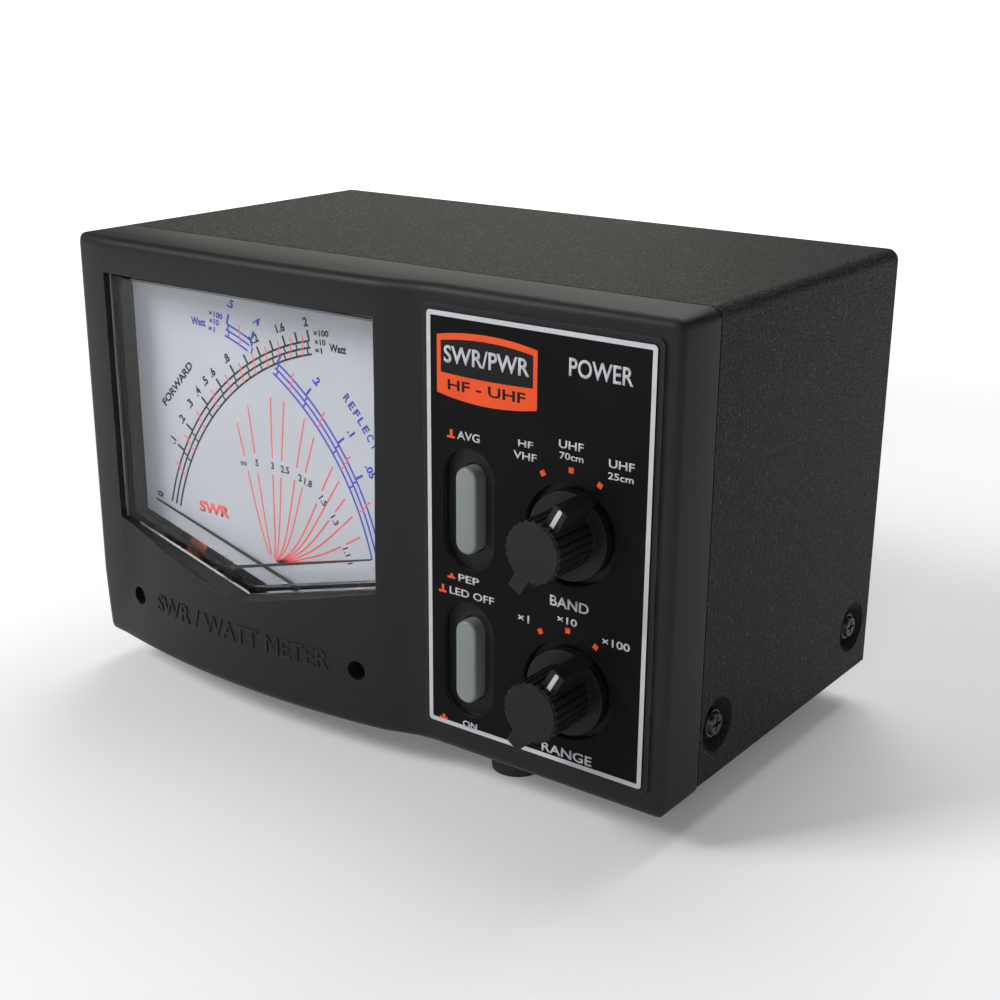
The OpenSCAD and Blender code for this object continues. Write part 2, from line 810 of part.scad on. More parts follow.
module board_parts() {
  top = board_y + board_t;
  color([0.15, 0.15, 0.17]) at_face() {
    for (x = [-58, -44, -30]) box([x, top, 52], [x + 9.6, top + 3.4, 58.4]);
    for (x = [-56, -44, -32, -20, -8]) box([x, top, 66], [x + 6.6, top + 5, 72.6]);
    for (x = [-54, -40, -26, -12]) translate([x, 0, 40]) rod_y(3.2, top, top + 8);
    for (x = [-60, -36, -12]) box([x, top, 20], [x + 14, top + 6, 25.6]);
  }
}

module board_spacers() {
  color(brass) at_face() for (s = sides, z = [20, 76]) translate([meter_x + s * 34, 0, z]) {
    rod_y(2.6, case_back, board_y);
    rod_y(1.1, case_back - 1.7, case_back + 1);
    rod_y(1.2, board_y - 1, board_y + board_t);
    rod_y(2.4, board_y + board_t, board_y + board_t + 1.6);
  }
}

// A shielded sensor box behind a pair of sockets, closed by a tray-like lid in front
module coupler_box(z, half_h, front) {
  half_l = 44;
  wall = 1.5;
  color(silver) at_face() difference() {
    box([-half_l, front, z - half_h], [half_l, back_panel_y, z + half_h]);
    box([-half_l + wall, front + wall, z - half_h + wall],
        [half_l - wall, back_panel_y - wall, z + half_h - wall]);
    for (s = sides) translate([s * socket_x, 0, z]) {
      rod_y(6.1, back_panel_y - 5, back_panel_y + 1);
      for (i = sides, j = sides)
        translate([i * socket_screw_pitch, 0, j * socket_screw_pitch])
          rod_y(1.5, back_panel_y - 5, back_panel_y + 1);
    }
    translate([0, 0, z + 4]) rod_y(2.5, front - 1, front + 4);
  }
}

// Line from one contact to the other, a ring core round it and the sensor's board below
module through_line(z, y, half_h, front, ring_r) {
  floor_z = z - half_h + 4.4;
  at_face() {
    color(brass) translate([0, y, z]) rod_x(1.4, -socket_x - 2, socket_x + 2);
    color([0.3, 0.3, 0.32]) translate([0, y, z]) difference() {
      rod_x(ring_r, -4, 4);
      rod_x(3.4, -5, 5);
    }
    color(board_green)
      box([-42.5, front + 2.5, floor_z], [42.5, back_panel_y - 3, floor_z + board_t]);
  }
}

module hf_coupler_box() {
  coupler_box(hf_z, 16, hf_box_front);
}

module uhf_coupler_box() {
  coupler_box(uhf_z, 15, uhf_box_front);
}

module through_lines() {
  through_line(hf_z, 76, 16, hf_box_front, 8);
  through_line(uhf_z, 77, 15, uhf_box_front, 6);
}

// ---- rear sockets ----

// Square flange, threaded barrel and the neck through the panel, for one pair of sockets
module socket_pair(z, barrel_end, mouth_r, mouth_depth) {
  flange = 12.7;
  panel_back = back_panel_y + chassis_t;
  for (s = sides) at_control(s * socket_x, z) {
    color(silver) difference() {
      union() {
        plate_y(panel_back, panel_back + 1.6) round_rect(-flange, flange, -flange, flange, 1);
        rod_y(socket_thread_r, panel_back + 1, barrel_end);
        rod_y(6, back_panel_y - 3, panel_back + 1);
      }
      rod_y(mouth_r, barrel_end - mouth_depth, barrel_end + 1);
      rod_y(3.4, back_panel_y - 5, barrel_end);
      for (i = sides, j = sides)
        translate([i * socket_screw_pitch, 0, j * socket_screw_pitch]) rod_y(1.6, 85, 95);
    }
  }
}

module hf_sockets() {
  socket_pair(hf_z, socket_end, 5.9, 9.5);
}

module uhf_sockets() {
  socket_pair(uhf_z, socket_end - 1, 4.3, 8.5);
}

module socket_insulators() {
  color([0.93, 0.92, 0.88]) for (s = sides, z = [hf_z, uhf_z]) at_control(s * socket_x, z) difference() {
    rod_y(3.35, back_panel_y - 4, socket_end - 9.5);
    rod_y(z == hf_z ? 2.6 : 1.5, back_panel_y - 6, socket_end);
  }
}

// A centre contact: its tail reaches the line inside, its bore takes the plug's pin
module contact(x, z, r, bore_r, tail_start, mouth, depth) {
  color(brass) at_control(x, z) difference() {
    union() {
      rod_y(r, 84, mouth);
      rod_y(1.2, tail_start, 85);
    }
    rod_y(bore_r, mouth - depth, mouth + 1);
  }
}

module socket_contacts() {
  for (s = sides) {
    contact(s * socket_x, hf_z, 2.6, 2, 77.45, socket_end - 2, 12);
    contact(s * socket_x, uhf_z, 1.5, 0.85, 78.45, socket_end - 4, 7);
  }
}

module socket_screws() {
  color(silver) for (s = sides, z = [hf_z, uhf_z], i = sides, j = sides)
    at_control(s * socket_x + i * socket_screw_pitch, z + j * socket_screw_pitch)
      translate([0, back_panel_y + chassis_t + 1.6, 0]) rotate([-90, 0, 0]) pan_screw(2.7, 1.7, 1.4, 5.6);
}

// Power jack: threaded sleeve with its nut outside, body inside, centre pin
module dc_jack() {
  panel_back = back_panel_y + chassis_t;
  color(black) at_control(jack_x, jack_z) {
    difference() {
      union() {
        rod_y(4, 86, panel_back + 3.4);
        rod_y(5.6, 77, back_panel_y);
        translate([0, panel_back, 0]) rotate([-90, 0, 0]) cylinder(h = 2, r = 6.4, $fn = 6);
      }
      rod_y(2.8, 81, 95);
    }
    rod_y(1.05, 80, panel_back + 2.2);
    for (x = [-2.6, 2.6]) translate([x, 0, 0]) rod_y(0.5, 73, 78);
  }
}

// A soft lead through a list of points, a little thicker where it bends
module lead(points, r) {
  for (i = [0:len(points) - 2]) {
    run = points[i + 1] - points[i];
    flat = norm([run[0], run[1]]);
    translate(points[i]) rotate([0, atan2(flat, run[2]), atan2(run[1], run[0])])
      cylinder(h = norm(run), r = r);
  }
  for (i = [1:len(points) - 2]) translate(points[i]) sphere(r = r * 1.3);
}

module wiring() {
  r = 0.6;
  low = board_y + board_t + 6.8;
  color([0.7, 0.12, 0.1]) at_face() {
    lead([[jack_x - 2.6, 72.4, jack_z], [jack_x - 9, 61, 8], [22, 55, 5], [-5, low, 22]], r);
    lead([[1, uhf_box_front + 3, uhf_z + 4], [1, uhf_box_front - 3, uhf_z + 4],
          [-24, 52, 36], [-28, low, 23]], r);
    lead([[1, hf_box_front + 3, hf_z + 4], [1, hf_box_front - 2, hf_z + 4],
          [-46, 51, 48], [-52, low, 23]], r);
  }
  color([0.15, 0.15, 0.15]) at_face() {
    lead([[jack_x + 2.6, 72.4, jack_z], [jack_x - 4, 58, 4], [20, 55, 3.5], [-8, low, 22]], r);
    lead([[-1, uhf_box_front + 3, uhf_z + 4], [-1, uhf_box_front - 3, uhf_z + 4],
          [-27.5, 52, 36], [-31, low, 23]], r);
    lead([[-1, hf_box_front + 3, hf_z + 4], [-1, hf_box_front - 2, hf_z + 4],
          [-49, 51, 48], [-56, low, 23]], r);
    for (z = rows) lead([[button_x - 3, 30.6, z], [22, 38, z + 4], [2, 45.4, 66], [-5, 45.8, 69]], r);
  }
}

front_panel();
control_label();
cover();
chassis();
cover_screws();
panel_screws();
rubber_feet();
foot_screws();
meter_window();
dial_frame();
dial_plate();
meter_case();
meter_screws();
movement_frame();
yoke(1);  // forward_yoke
core(1);  // forward_core
bridge(1);  // forward_bridge
staff(1);  // forward_staff
coil(1);  // forward_coil
needle(1, 4.9);  // forward_needle
hairspring(1);  // forward_hairspring
zero_arm(1);  // forward_zero_arm
zero_screw(1);  // forward_zero_screw
yoke(-1);  // reflected_yoke
core(-1);  // reflected_core
bridge(-1);  // reflected_bridge
staff(-1);  // reflected_staff
coil(-1);  // reflected_coil
needle(-1, 3.9);  // reflected_needle
hairspring(-1);  // reflected_hairspring
zero_arm(-1);  // reflected_zero_arm
zero_screw(-1);  // reflected_zero_screw
lamp_board();
lamp_leds();
band_knob();
range_knob();
band_shaft();
range_shaft();
band_switch();
range_switch();
switch_nuts();
control_bracket();
bracket_screws();
avg_pep_button();
led_button();
push_switches();
button_springs();
main_board();
board_parts();
board_spacers();
hf_coupler_box();
uhf_coupler_box();
through_lines();
hf_sockets();
uhf_sockets();
socket_insulators();
socket_contacts();
socket_screws();
dc_jack();
wiring();
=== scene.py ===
import json
import math
import bmesh
import bpy
from mathutils import Matrix, Vector
from mathutils.bvhtree import BVHTree


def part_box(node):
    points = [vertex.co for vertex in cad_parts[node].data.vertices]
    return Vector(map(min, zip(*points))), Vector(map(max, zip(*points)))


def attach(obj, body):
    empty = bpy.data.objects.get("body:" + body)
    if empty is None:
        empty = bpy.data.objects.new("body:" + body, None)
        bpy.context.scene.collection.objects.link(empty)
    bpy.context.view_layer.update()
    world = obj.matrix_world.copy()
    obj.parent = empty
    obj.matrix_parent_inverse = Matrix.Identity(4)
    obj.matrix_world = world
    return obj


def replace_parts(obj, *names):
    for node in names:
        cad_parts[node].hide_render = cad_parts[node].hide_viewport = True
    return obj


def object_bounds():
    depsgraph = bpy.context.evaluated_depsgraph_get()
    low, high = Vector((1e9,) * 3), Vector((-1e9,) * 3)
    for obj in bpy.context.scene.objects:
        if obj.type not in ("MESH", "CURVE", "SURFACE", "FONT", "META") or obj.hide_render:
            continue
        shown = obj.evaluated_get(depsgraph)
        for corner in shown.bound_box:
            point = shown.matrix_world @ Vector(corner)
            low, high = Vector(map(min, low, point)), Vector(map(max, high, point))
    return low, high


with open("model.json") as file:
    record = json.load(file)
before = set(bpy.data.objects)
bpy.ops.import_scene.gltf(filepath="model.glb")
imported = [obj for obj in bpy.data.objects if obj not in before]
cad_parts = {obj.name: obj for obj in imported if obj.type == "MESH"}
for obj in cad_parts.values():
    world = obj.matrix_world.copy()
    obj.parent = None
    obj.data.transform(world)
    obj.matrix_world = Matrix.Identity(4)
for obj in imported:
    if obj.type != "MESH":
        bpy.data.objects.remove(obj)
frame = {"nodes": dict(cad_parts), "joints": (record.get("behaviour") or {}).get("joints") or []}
cadBounds = [list(c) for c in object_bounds()]
nodes = frame["nodes"]
joints = {j["name"]: j for j in frame["joints"]}
mm = 0.001
# face frame: y from the front of the control label, z from the cover's lower edge
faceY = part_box("control_label")[0][1]
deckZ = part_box("cover")[0][2]
print("frame loaded:", len(nodes), "nodes")


def at(x, y, z):
    return Vector((x * mm, faceY + y * mm, deckZ + z * mm))


# camera, lights and floor
cameraSetup = {"place": (210.7, -279.3, 160.0), "turn": 36.79, "tilt": 19.35, "roll": 0.19,
               "lens": 58.03, "shift": (0.017, 0.027)}


def makeCamera(s):
    a, e, r = (math.radians(s[k]) for k in ("turn", "tilt", "roll"))
    back = Vector((math.sin(a) * math.cos(e), -math.cos(a) * math.cos(e), math.sin(e)))
    right = Vector((0, 0, 1)).cross(back).normalized()
    up = back.cross(right)
    camX = math.cos(r) * right + math.sin(r) * up
    camY = -math.sin(r) * right + math.cos(r) * up
    data = bpy.data.cameras.new("meterCamera")
    data.sensor_width, data.lens = 36, s["lens"]
    data.shift_x, data.shift_y = s["shift"]
    data.clip_start, data.clip_end = 0.01, 20
    cam = bpy.data.objects.new("meterCamera", data)
    m = Matrix((camX, camY, back)).transposed().to_4x4()
    m.translation = Vector(s["place"]) * mm
    cam.matrix_world = m
    bpy.context.collection.objects.link(cam)
    bpy.context.scene.camera = cam


makeCamera(cameraSetup)

studio = {"backdrop": 1.0, "roomLight": 0.12, "floorTone": (0.86, 0.86, 0.86), "floorGlow": (0.12, 1.0),
          "glowFrom": (0.3, 1.15), "floorHalf": 3.0,
          "lamps": [("keyLamp", (-0.75, -0.85, 0.9), 0.5, 13, (1, 1, 1)),
                    ("topLamp", (-0.1, 0.5, 1.0), 0.8, 7, (1, 1, 1)),
                    ("rearLamp", (-0.85, 1.05, 0.6), 0.7, 1.6, (1, 0.97, 0.84)),
                    ("frontLamp", (0.45, -1.2, 0.5), 0.3, 2.5, (1, 1, 1))]}


def makeStudio(s):
    scene = bpy.context.scene
    scene.view_settings.view_transform = "Standard"
    world = bpy.data.worlds.new("studioWorld")
    world.use_nodes = True
    tree = world.node_tree
    room = tree.nodes["Background"]
    room.inputs["Color"].default_value = (1, 1, 1, 1)
    room.inputs["Strength"].default_value = s["roomLight"]
    seen = tree.nodes.new("ShaderNodeBackground")
    seen.inputs["Color"].default_value = (1, 1, 1, 1)
    seen.inputs["Strength"].default_value = s["backdrop"]
    path = tree.nodes.new("ShaderNodeLightPath")
    both = tree.nodes.new("ShaderNodeMixShader")
    tree.links.new(path.outputs["Is Camera Ray"], both.inputs[0])
    tree.links.new(room.outputs[0], both.inputs[1])
    tree.links.new(seen.outputs[0], both.inputs[2])
    tree.links.new(both.outputs[0], tree.nodes["World Output"].inputs["Surface"])
    scene.world = world
    for name, place, size, power, tint in s["lamps"]:
        light = bpy.data.lights.new(name, "AREA")
        light.shape, light.size, light.energy, light.color = "SQUARE", size, power, tint
        lamp = bpy.data.objects.new(name, light)
        lamp.location = place
        lamp.rotation_euler = (Vector(place) - Vector((0, 0, 0.05))).to_track_quat("Z", "Y").to_euler()
        bpy.context.collection.objects.link(lamp)
    h = s["floorHalf"]
    mesh = bpy.data.meshes.new("studioFloor")
    z = -0.05 * mm
    mesh.from_pydata([(-h, -h, z), (h, -h, z), (h, h, z), (-h, h, z)], [], [(0, 1, 2, 3)])
    floor = bpy.data.objects.new("studioFloor", mesh)
    bpy.context.collection.objects.link(floor)
    mat = bpy.data.materials.new("floorPaper")
    mat.use_nodes = True
    b = mat.node_tree.nodes["Principled BSDF"]
    b.inputs["Base Color"].default_value = (*s["floorTone"], 1)
    b.inputs["Roughness"].default_value = 0.9
    # the paper glows more with distance, so that it ends in plain white
    tree = mat.node_tree
    far = tree.nodes.new("ShaderNodeVectorMath")
    far.operation = "LENGTH"
    tree.links.new(tree.nodes.new("ShaderNodeTexCoord").outputs["Object"], far.inputs[0])
    glow = tree.nodes.new("ShaderNodeMapRange")
    for key, value in zip(("From Min", "From Max", "To Min", "To Max"), s["glowFrom"] + s["floorGlow"]):
        glow.inputs[key].default_value = value
    tree.links.new(far.outputs["Value"], glow.inputs["Value"])
    tree.links.new(glow.outputs["Result"], b.inputs["Emission Color"])
    b.inputs["Emission Strength"].default_value = 1.0
    mesh.materials.append(mat)


makeStudio(studio)
print("camera and studio ready")


# shader groups shared by the finishes
def newGroup(name, inputs, outputs):
    tree = bpy.data.node_groups.new(name, "ShaderNodeTree")
    for label, value in inputs:
        s = tree.interface.new_socket(label, in_out="INPUT", socket_type="NodeSocketFloat")
        s.default_value = value
    for label, kind in outputs:
        tree.interface.new_socket(label, in_out="OUTPUT", socket_type=kind)
    return tree, tree.nodes.new("NodeGroupInput"), tree.nodes.new("NodeGroupOutput")


def calc(tree, operation, a, b=None):
    n = tree.nodes.new("ShaderNodeMath")
    n.operation = operation
    for i, v in enumerate((a, b)):
        if v is None:
            continue
        if isinstance(v, (int, float)):
            n.inputs[i].default_value = v
        else:
            tree.links.new(v, n.inputs[i])
    return n.outputs[0]


def noiseOf(tree, vector, scale, detail=2.0, rough=0.5):
    n = tree.nodes.new("ShaderNodeTexNoise")
    n.inputs["Detail"].default_value = detail
    n.inputs["Roughness"].default_value = rough
    if isinstance(scale, (int, float)):
        n.inputs["Scale"].default_value = scale
    else:
        tree.links.new(scale, n.inputs["Scale"])
    tree.links.new(vector, n.inputs["Vector"])
    return n.outputs["Fac"]


def rampOf(tree, value, low, high):
    n = tree.nodes.new("ShaderNodeMapRange")
    n.inputs["From Min"].default_value = low
    n.inputs["From Max"].default_value = high
    tree.links.new(value, n.inputs["Value"])
    return n.outputs["Result"]


# a normal that rounds edges by this radius in metres
def softNormal(tree, radius):
    n = tree.nodes.new("ShaderNodeBevel")
    n.samples = 4
    n.inputs["Radius"].default_value = radius
    return n.outputs[0]


# moulded or printed surfaces: a fine grain, and slow changes in sheen
def makeGrainGroup():
    tree, gin, gout = newGroup("fineGrain", [("Scale", 4000), ("Cloud Scale", 30)],
                               [("Height", "NodeSocketFloat"), ("Cloud", "NodeSocketFloat")])
    place = tree.nodes.new("ShaderNodeTexCoord").outputs["Object"]
    grain = noiseOf(tree, place, gin.outputs["Scale"], 3.0, 0.6)
    cloud = noiseOf(tree, place, gin.outputs["Cloud Scale"], 4.0, 0.55)
    tree.links.new(grain, gout.inputs["Height"])
    tree.links.new(rampOf(tree, cloud, 0.3, 0.7), gout.inputs["Cloud"])
    return tree


# pressed leather pattern of a vinyl-clad sheet: rounded cells with creases between them
def makeLeatherGroup():
    tree, gin, gout = newGroup("leatherGrain", [("Cell Scale", 900), ("Warp", 0.35)],
                               [("Height", "NodeSocketFloat"), ("Crease Shade", "NodeSocketFloat"),
                                ("Painted Highlight", "NodeSocketFloat")])
    place = tree.nodes.new("ShaderNodeTexCoord").outputs["Object"]
    warp = tree.nodes.new("ShaderNodeTexNoise")
    warp.inputs["Scale"].default_value = 700
    tree.links.new(place, warp.inputs["Vector"])
    push = tree.nodes.new("ShaderNodeVectorMath")
    push.operation = "SCALE"
    tree.links.new(warp.outputs["Color"], push.inputs[0])
    tree.links.new(calc(tree, "MULTIPLY", gin.outputs["Warp"], 0.0022), push.inputs["Scale"])  # metres
    moved = tree.nodes.new("ShaderNodeVectorMath")
    moved.operation = "ADD"
    tree.links.new(place, moved.inputs[0])
    tree.links.new(push.outputs[0], moved.inputs[1])
    cells = tree.nodes.new("ShaderNodeTexVoronoi")
    cells.feature = "DISTANCE_TO_EDGE"
    tree.links.new(moved.outputs[0], cells.inputs["Vector"])
    tree.links.new(gin.outputs["Cell Scale"], cells.inputs["Scale"])
    crease = rampOf(tree, cells.outputs["Distance"], 0.0, 0.16)
    fine = noiseOf(tree, place, 5200, 2.0)
    tree.links.new(calc(tree, "ADD", crease, calc(tree, "MULTIPLY", fine, 0.5)), gout.inputs["Height"])
    # mask for painted shade: darker colour in the creases between cells
    tree.links.new(calc(tree, "SUBTRACT", 1.0, crease), gout.inputs["Crease Shade"])
    # mask for painted highlight: speckle where the grain's tops catch the sheen
    tree.links.new(rampOf(tree, noiseOf(tree, place, 1500, 1.0), 0.6, 0.72), gout.inputs["Painted Highlight"])
    return tree


# pale patches along outer edges: painted edge highlight
def makeEdgeHighlightGroup():
    tree, gin, gout = newGroup("paintedEdgeHighlight", [("Patch Scale", 260)], [("Mask", "NodeSocketFloat")])
    plain = tree.nodes.new("ShaderNodeNewGeometry")
    dot = tree.nodes.new("ShaderNodeVectorMath")
    dot.operation = "DOT_PRODUCT"
    tree.links.new(softNormal(tree, 0.0005), dot.inputs[0])
    tree.links.new(plain.outputs["Normal"], dot.inputs[1])
    edge = rampOf(tree, calc(tree, "SUBTRACT", 1.0, dot.outputs["Value"]), 0.02, 0.2)
    place = tree.nodes.new("ShaderNodeTexCoord").outputs["Object"]
    patch = rampOf(tree, noiseOf(tree, place, gin.outputs["Patch Scale"], 3.0), 0.42, 0.62)
    tree.links.new(calc(tree, "MULTIPLY", edge, patch), gout.inputs["Mask"])
    return tree


grainGroup = makeGrainGroup()
leatherGroup = makeLeatherGroup()
edgeHighlightGroup = makeEdgeHighlightGroup()


def startMaterial(name):
    mat = bpy.data.materials.new(name)
    mat.use_nodes = True
    tree = mat.node_tree
    return mat, tree, tree.nodes["Principled BSDF"]


def placeGroup(tree, group, values):
    n = tree.nodes.new("ShaderNodeGroup")
    n.node_tree = group
    for key, value in values.items():
        n.inputs[key].default_value = value
    return n


def mixColour(tree, factor, a, b):
    n = tree.nodes.new("ShaderNodeMix")
    n.data_type = "RGBA"
    tree.links.new(factor, n.inputs["Factor"])
    for socket, value in ((n.inputs[6], a), (n.inputs[7], b)):
        if isinstance(value, tuple):
            socket.default_value = (*value, 1)
        else:
            tree.links.new(value, socket)
    return n.outputs[2]


# roughness between two values, following the slow changes in sheen
def unevenRough(tree, grain, low, high):
    return calc(tree, "ADD", low, calc(tree, "MULTIPLY", grain.outputs["Cloud"], high - low))


def bumpFrom(tree, height, strength, distance):
    n = tree.nodes.new("ShaderNodeBump")
    n.inputs["Strength"].default_value = strength
    n.inputs["Distance"].default_value = distance
    tree.links.new(height, n.inputs["Height"])
    return n


# one recipe for plastics, paints, rubber and metals, with its own values each time
def grainMaterial(name, dark, light, rough=(0.4, 0.5), grain=4000, bump=0.15, depth=0.00003,
                  cloud=30, metal=0.0, edgeHighlight=None, rounding=0.0, specular=0.5, coat=0.0):
    mat, tree, bsdf = startMaterial(name)
    g = placeGroup(tree, grainGroup, {"Scale": grain, "Cloud Scale": cloud})
    colour = mixColour(tree, g.outputs["Cloud"], dark, light)
    # painted edge highlight: paler colour on outer edges, in patches
    if edgeHighlight:
        e = placeGroup(tree, edgeHighlightGroup, {})
        colour = mixColour(tree, e.outputs["Mask"], colour, edgeHighlight)
    tree.links.new(colour, bsdf.inputs["Base Color"])
    tree.links.new(unevenRough(tree, g, *rough), bsdf.inputs["Roughness"])
    b = bumpFrom(tree, g.outputs["Height"], bump, depth)
    if rounding:
        tree.links.new(softNormal(tree, rounding), b.inputs["Normal"])
    tree.links.new(b.outputs[0], bsdf.inputs["Normal"])
    bsdf.inputs["Metallic"].default_value = metal
    bsdf.inputs["Specular IOR Level"].default_value = specular
    bsdf.inputs["Coat Weight"].default_value = coat
    return mat


def leatherMaterial(name, v):
    mat, tree, bsdf = startMaterial(name)
    g = placeGroup(tree, leatherGroup, {"Cell Scale": v["cells"]})
    c = placeGroup(tree, grainGroup, {"Scale": 3000, "Cloud Scale": 14})
    base = mixColour(tree, c.outputs["Cloud"], v["dark"], v["light"])
    # painted shade: crease colour mixed in along the creases
    base = mixColour(tree, g.outputs["Crease Shade"], base, v["crease"])
    # painted highlight: lighter speckle in the base colour; the roughness is also truly lower there (below)
    base = mixColour(tree, calc(tree, "MULTIPLY", g.outputs["Painted Highlight"], v["paintedHighlightShare"]), base, v["paintedHighlight"])
    tree.links.new(base, bsdf.inputs["Base Color"])
    r = calc(tree, "SUBTRACT", v["rough"], calc(tree, "MULTIPLY", g.outputs["Painted Highlight"], 0.15))
    tree.links.new(r, bsdf.inputs["Roughness"])
    b = bumpFrom(tree, g.outputs["Height"], v["bump"], v["depth"])
    tree.links.new(softNormal(tree, v["rounding"]), b.inputs["Normal"])
    tree.links.new(b.outputs[0], bsdf.inputs["Normal"])
    bsdf.inputs["Specular IOR Level"].default_value = v["specular"]
    return mat


# turned metal, with fine tool lines round the Y axis
def turnedMaterial(name, tone, pitch):
    mat, tree, bsdf = startMaterial(name)
    g = placeGroup(tree, grainGroup, {"Scale": 2500, "Cloud Scale": 60})
    wave = tree.nodes.new("ShaderNodeTexWave")
    wave.bands_direction = "Y"
    wave.inputs["Scale"].default_value = math.pi / 10 / (pitch * mm)
    place = tree.nodes.new("ShaderNodeTexCoord").outputs["Object"]
    tree.links.new(place, wave.inputs["Vector"])
    shade = tuple(t * 0.8 for t in tone)
    tree.links.new(mixColour(tree, g.outputs["Cloud"], shade, tone), bsdf.inputs["Base Color"])
    tree.links.new(bumpFrom(tree, wave.outputs["Fac"], 0.3, 0.00003).outputs[0], bsdf.inputs["Normal"])
    tree.links.new(unevenRough(tree, g, 0.22, 0.37), bsdf.inputs["Roughness"])
    bsdf.inputs["Metallic"].default_value = 1.0
    return mat


# clear parts let light straight through to what is behind them
def clearMaterial(name, tint, rough, bend):
    mat, tree, bsdf = startMaterial(name)
    g = placeGroup(tree, grainGroup, {"Scale": 900, "Cloud Scale": 20})
    tree.links.new(unevenRough(tree, g, *rough), bsdf.inputs["Roughness"])
    bsdf.inputs["Base Color"].default_value = (*tint, 1)
    bsdf.inputs["Transmission Weight"].default_value = 1.0
    bsdf.inputs["IOR"].default_value = bend
    clear = tree.nodes.new("ShaderNodeBsdfTransparent")
    path = tree.nodes.new("ShaderNodeLightPath")
    both = tree.nodes.new("ShaderNodeMixShader")
    out = tree.nodes["Material Output"]
    tree.links.new(path.outputs["Is Shadow Ray"], both.inputs[0])
    tree.links.new(bsdf.outputs[0], both.inputs[1])
    tree.links.new(clear.outputs[0], both.inputs[2])
    tree.links.new(both.outputs[0], out.inputs["Surface"])
    return mat


# in the cover vinyl the crease colour is painted shade, and the speckle colour and its share are painted
# highlight
coverLeather = {"cells": 1100, "dark": (0.0042, 0.0041, 0.0035), "light": (0.0075, 0.0073, 0.006),
                "crease": (0.004, 0.004, 0.004), "paintedHighlight": (0.05, 0.049, 0.04), "paintedHighlightShare": 0.5,
                "rough": 0.5, "bump": 1.0, "depth": 0.00014, "rounding": 0.0003, "specular": 0.15}
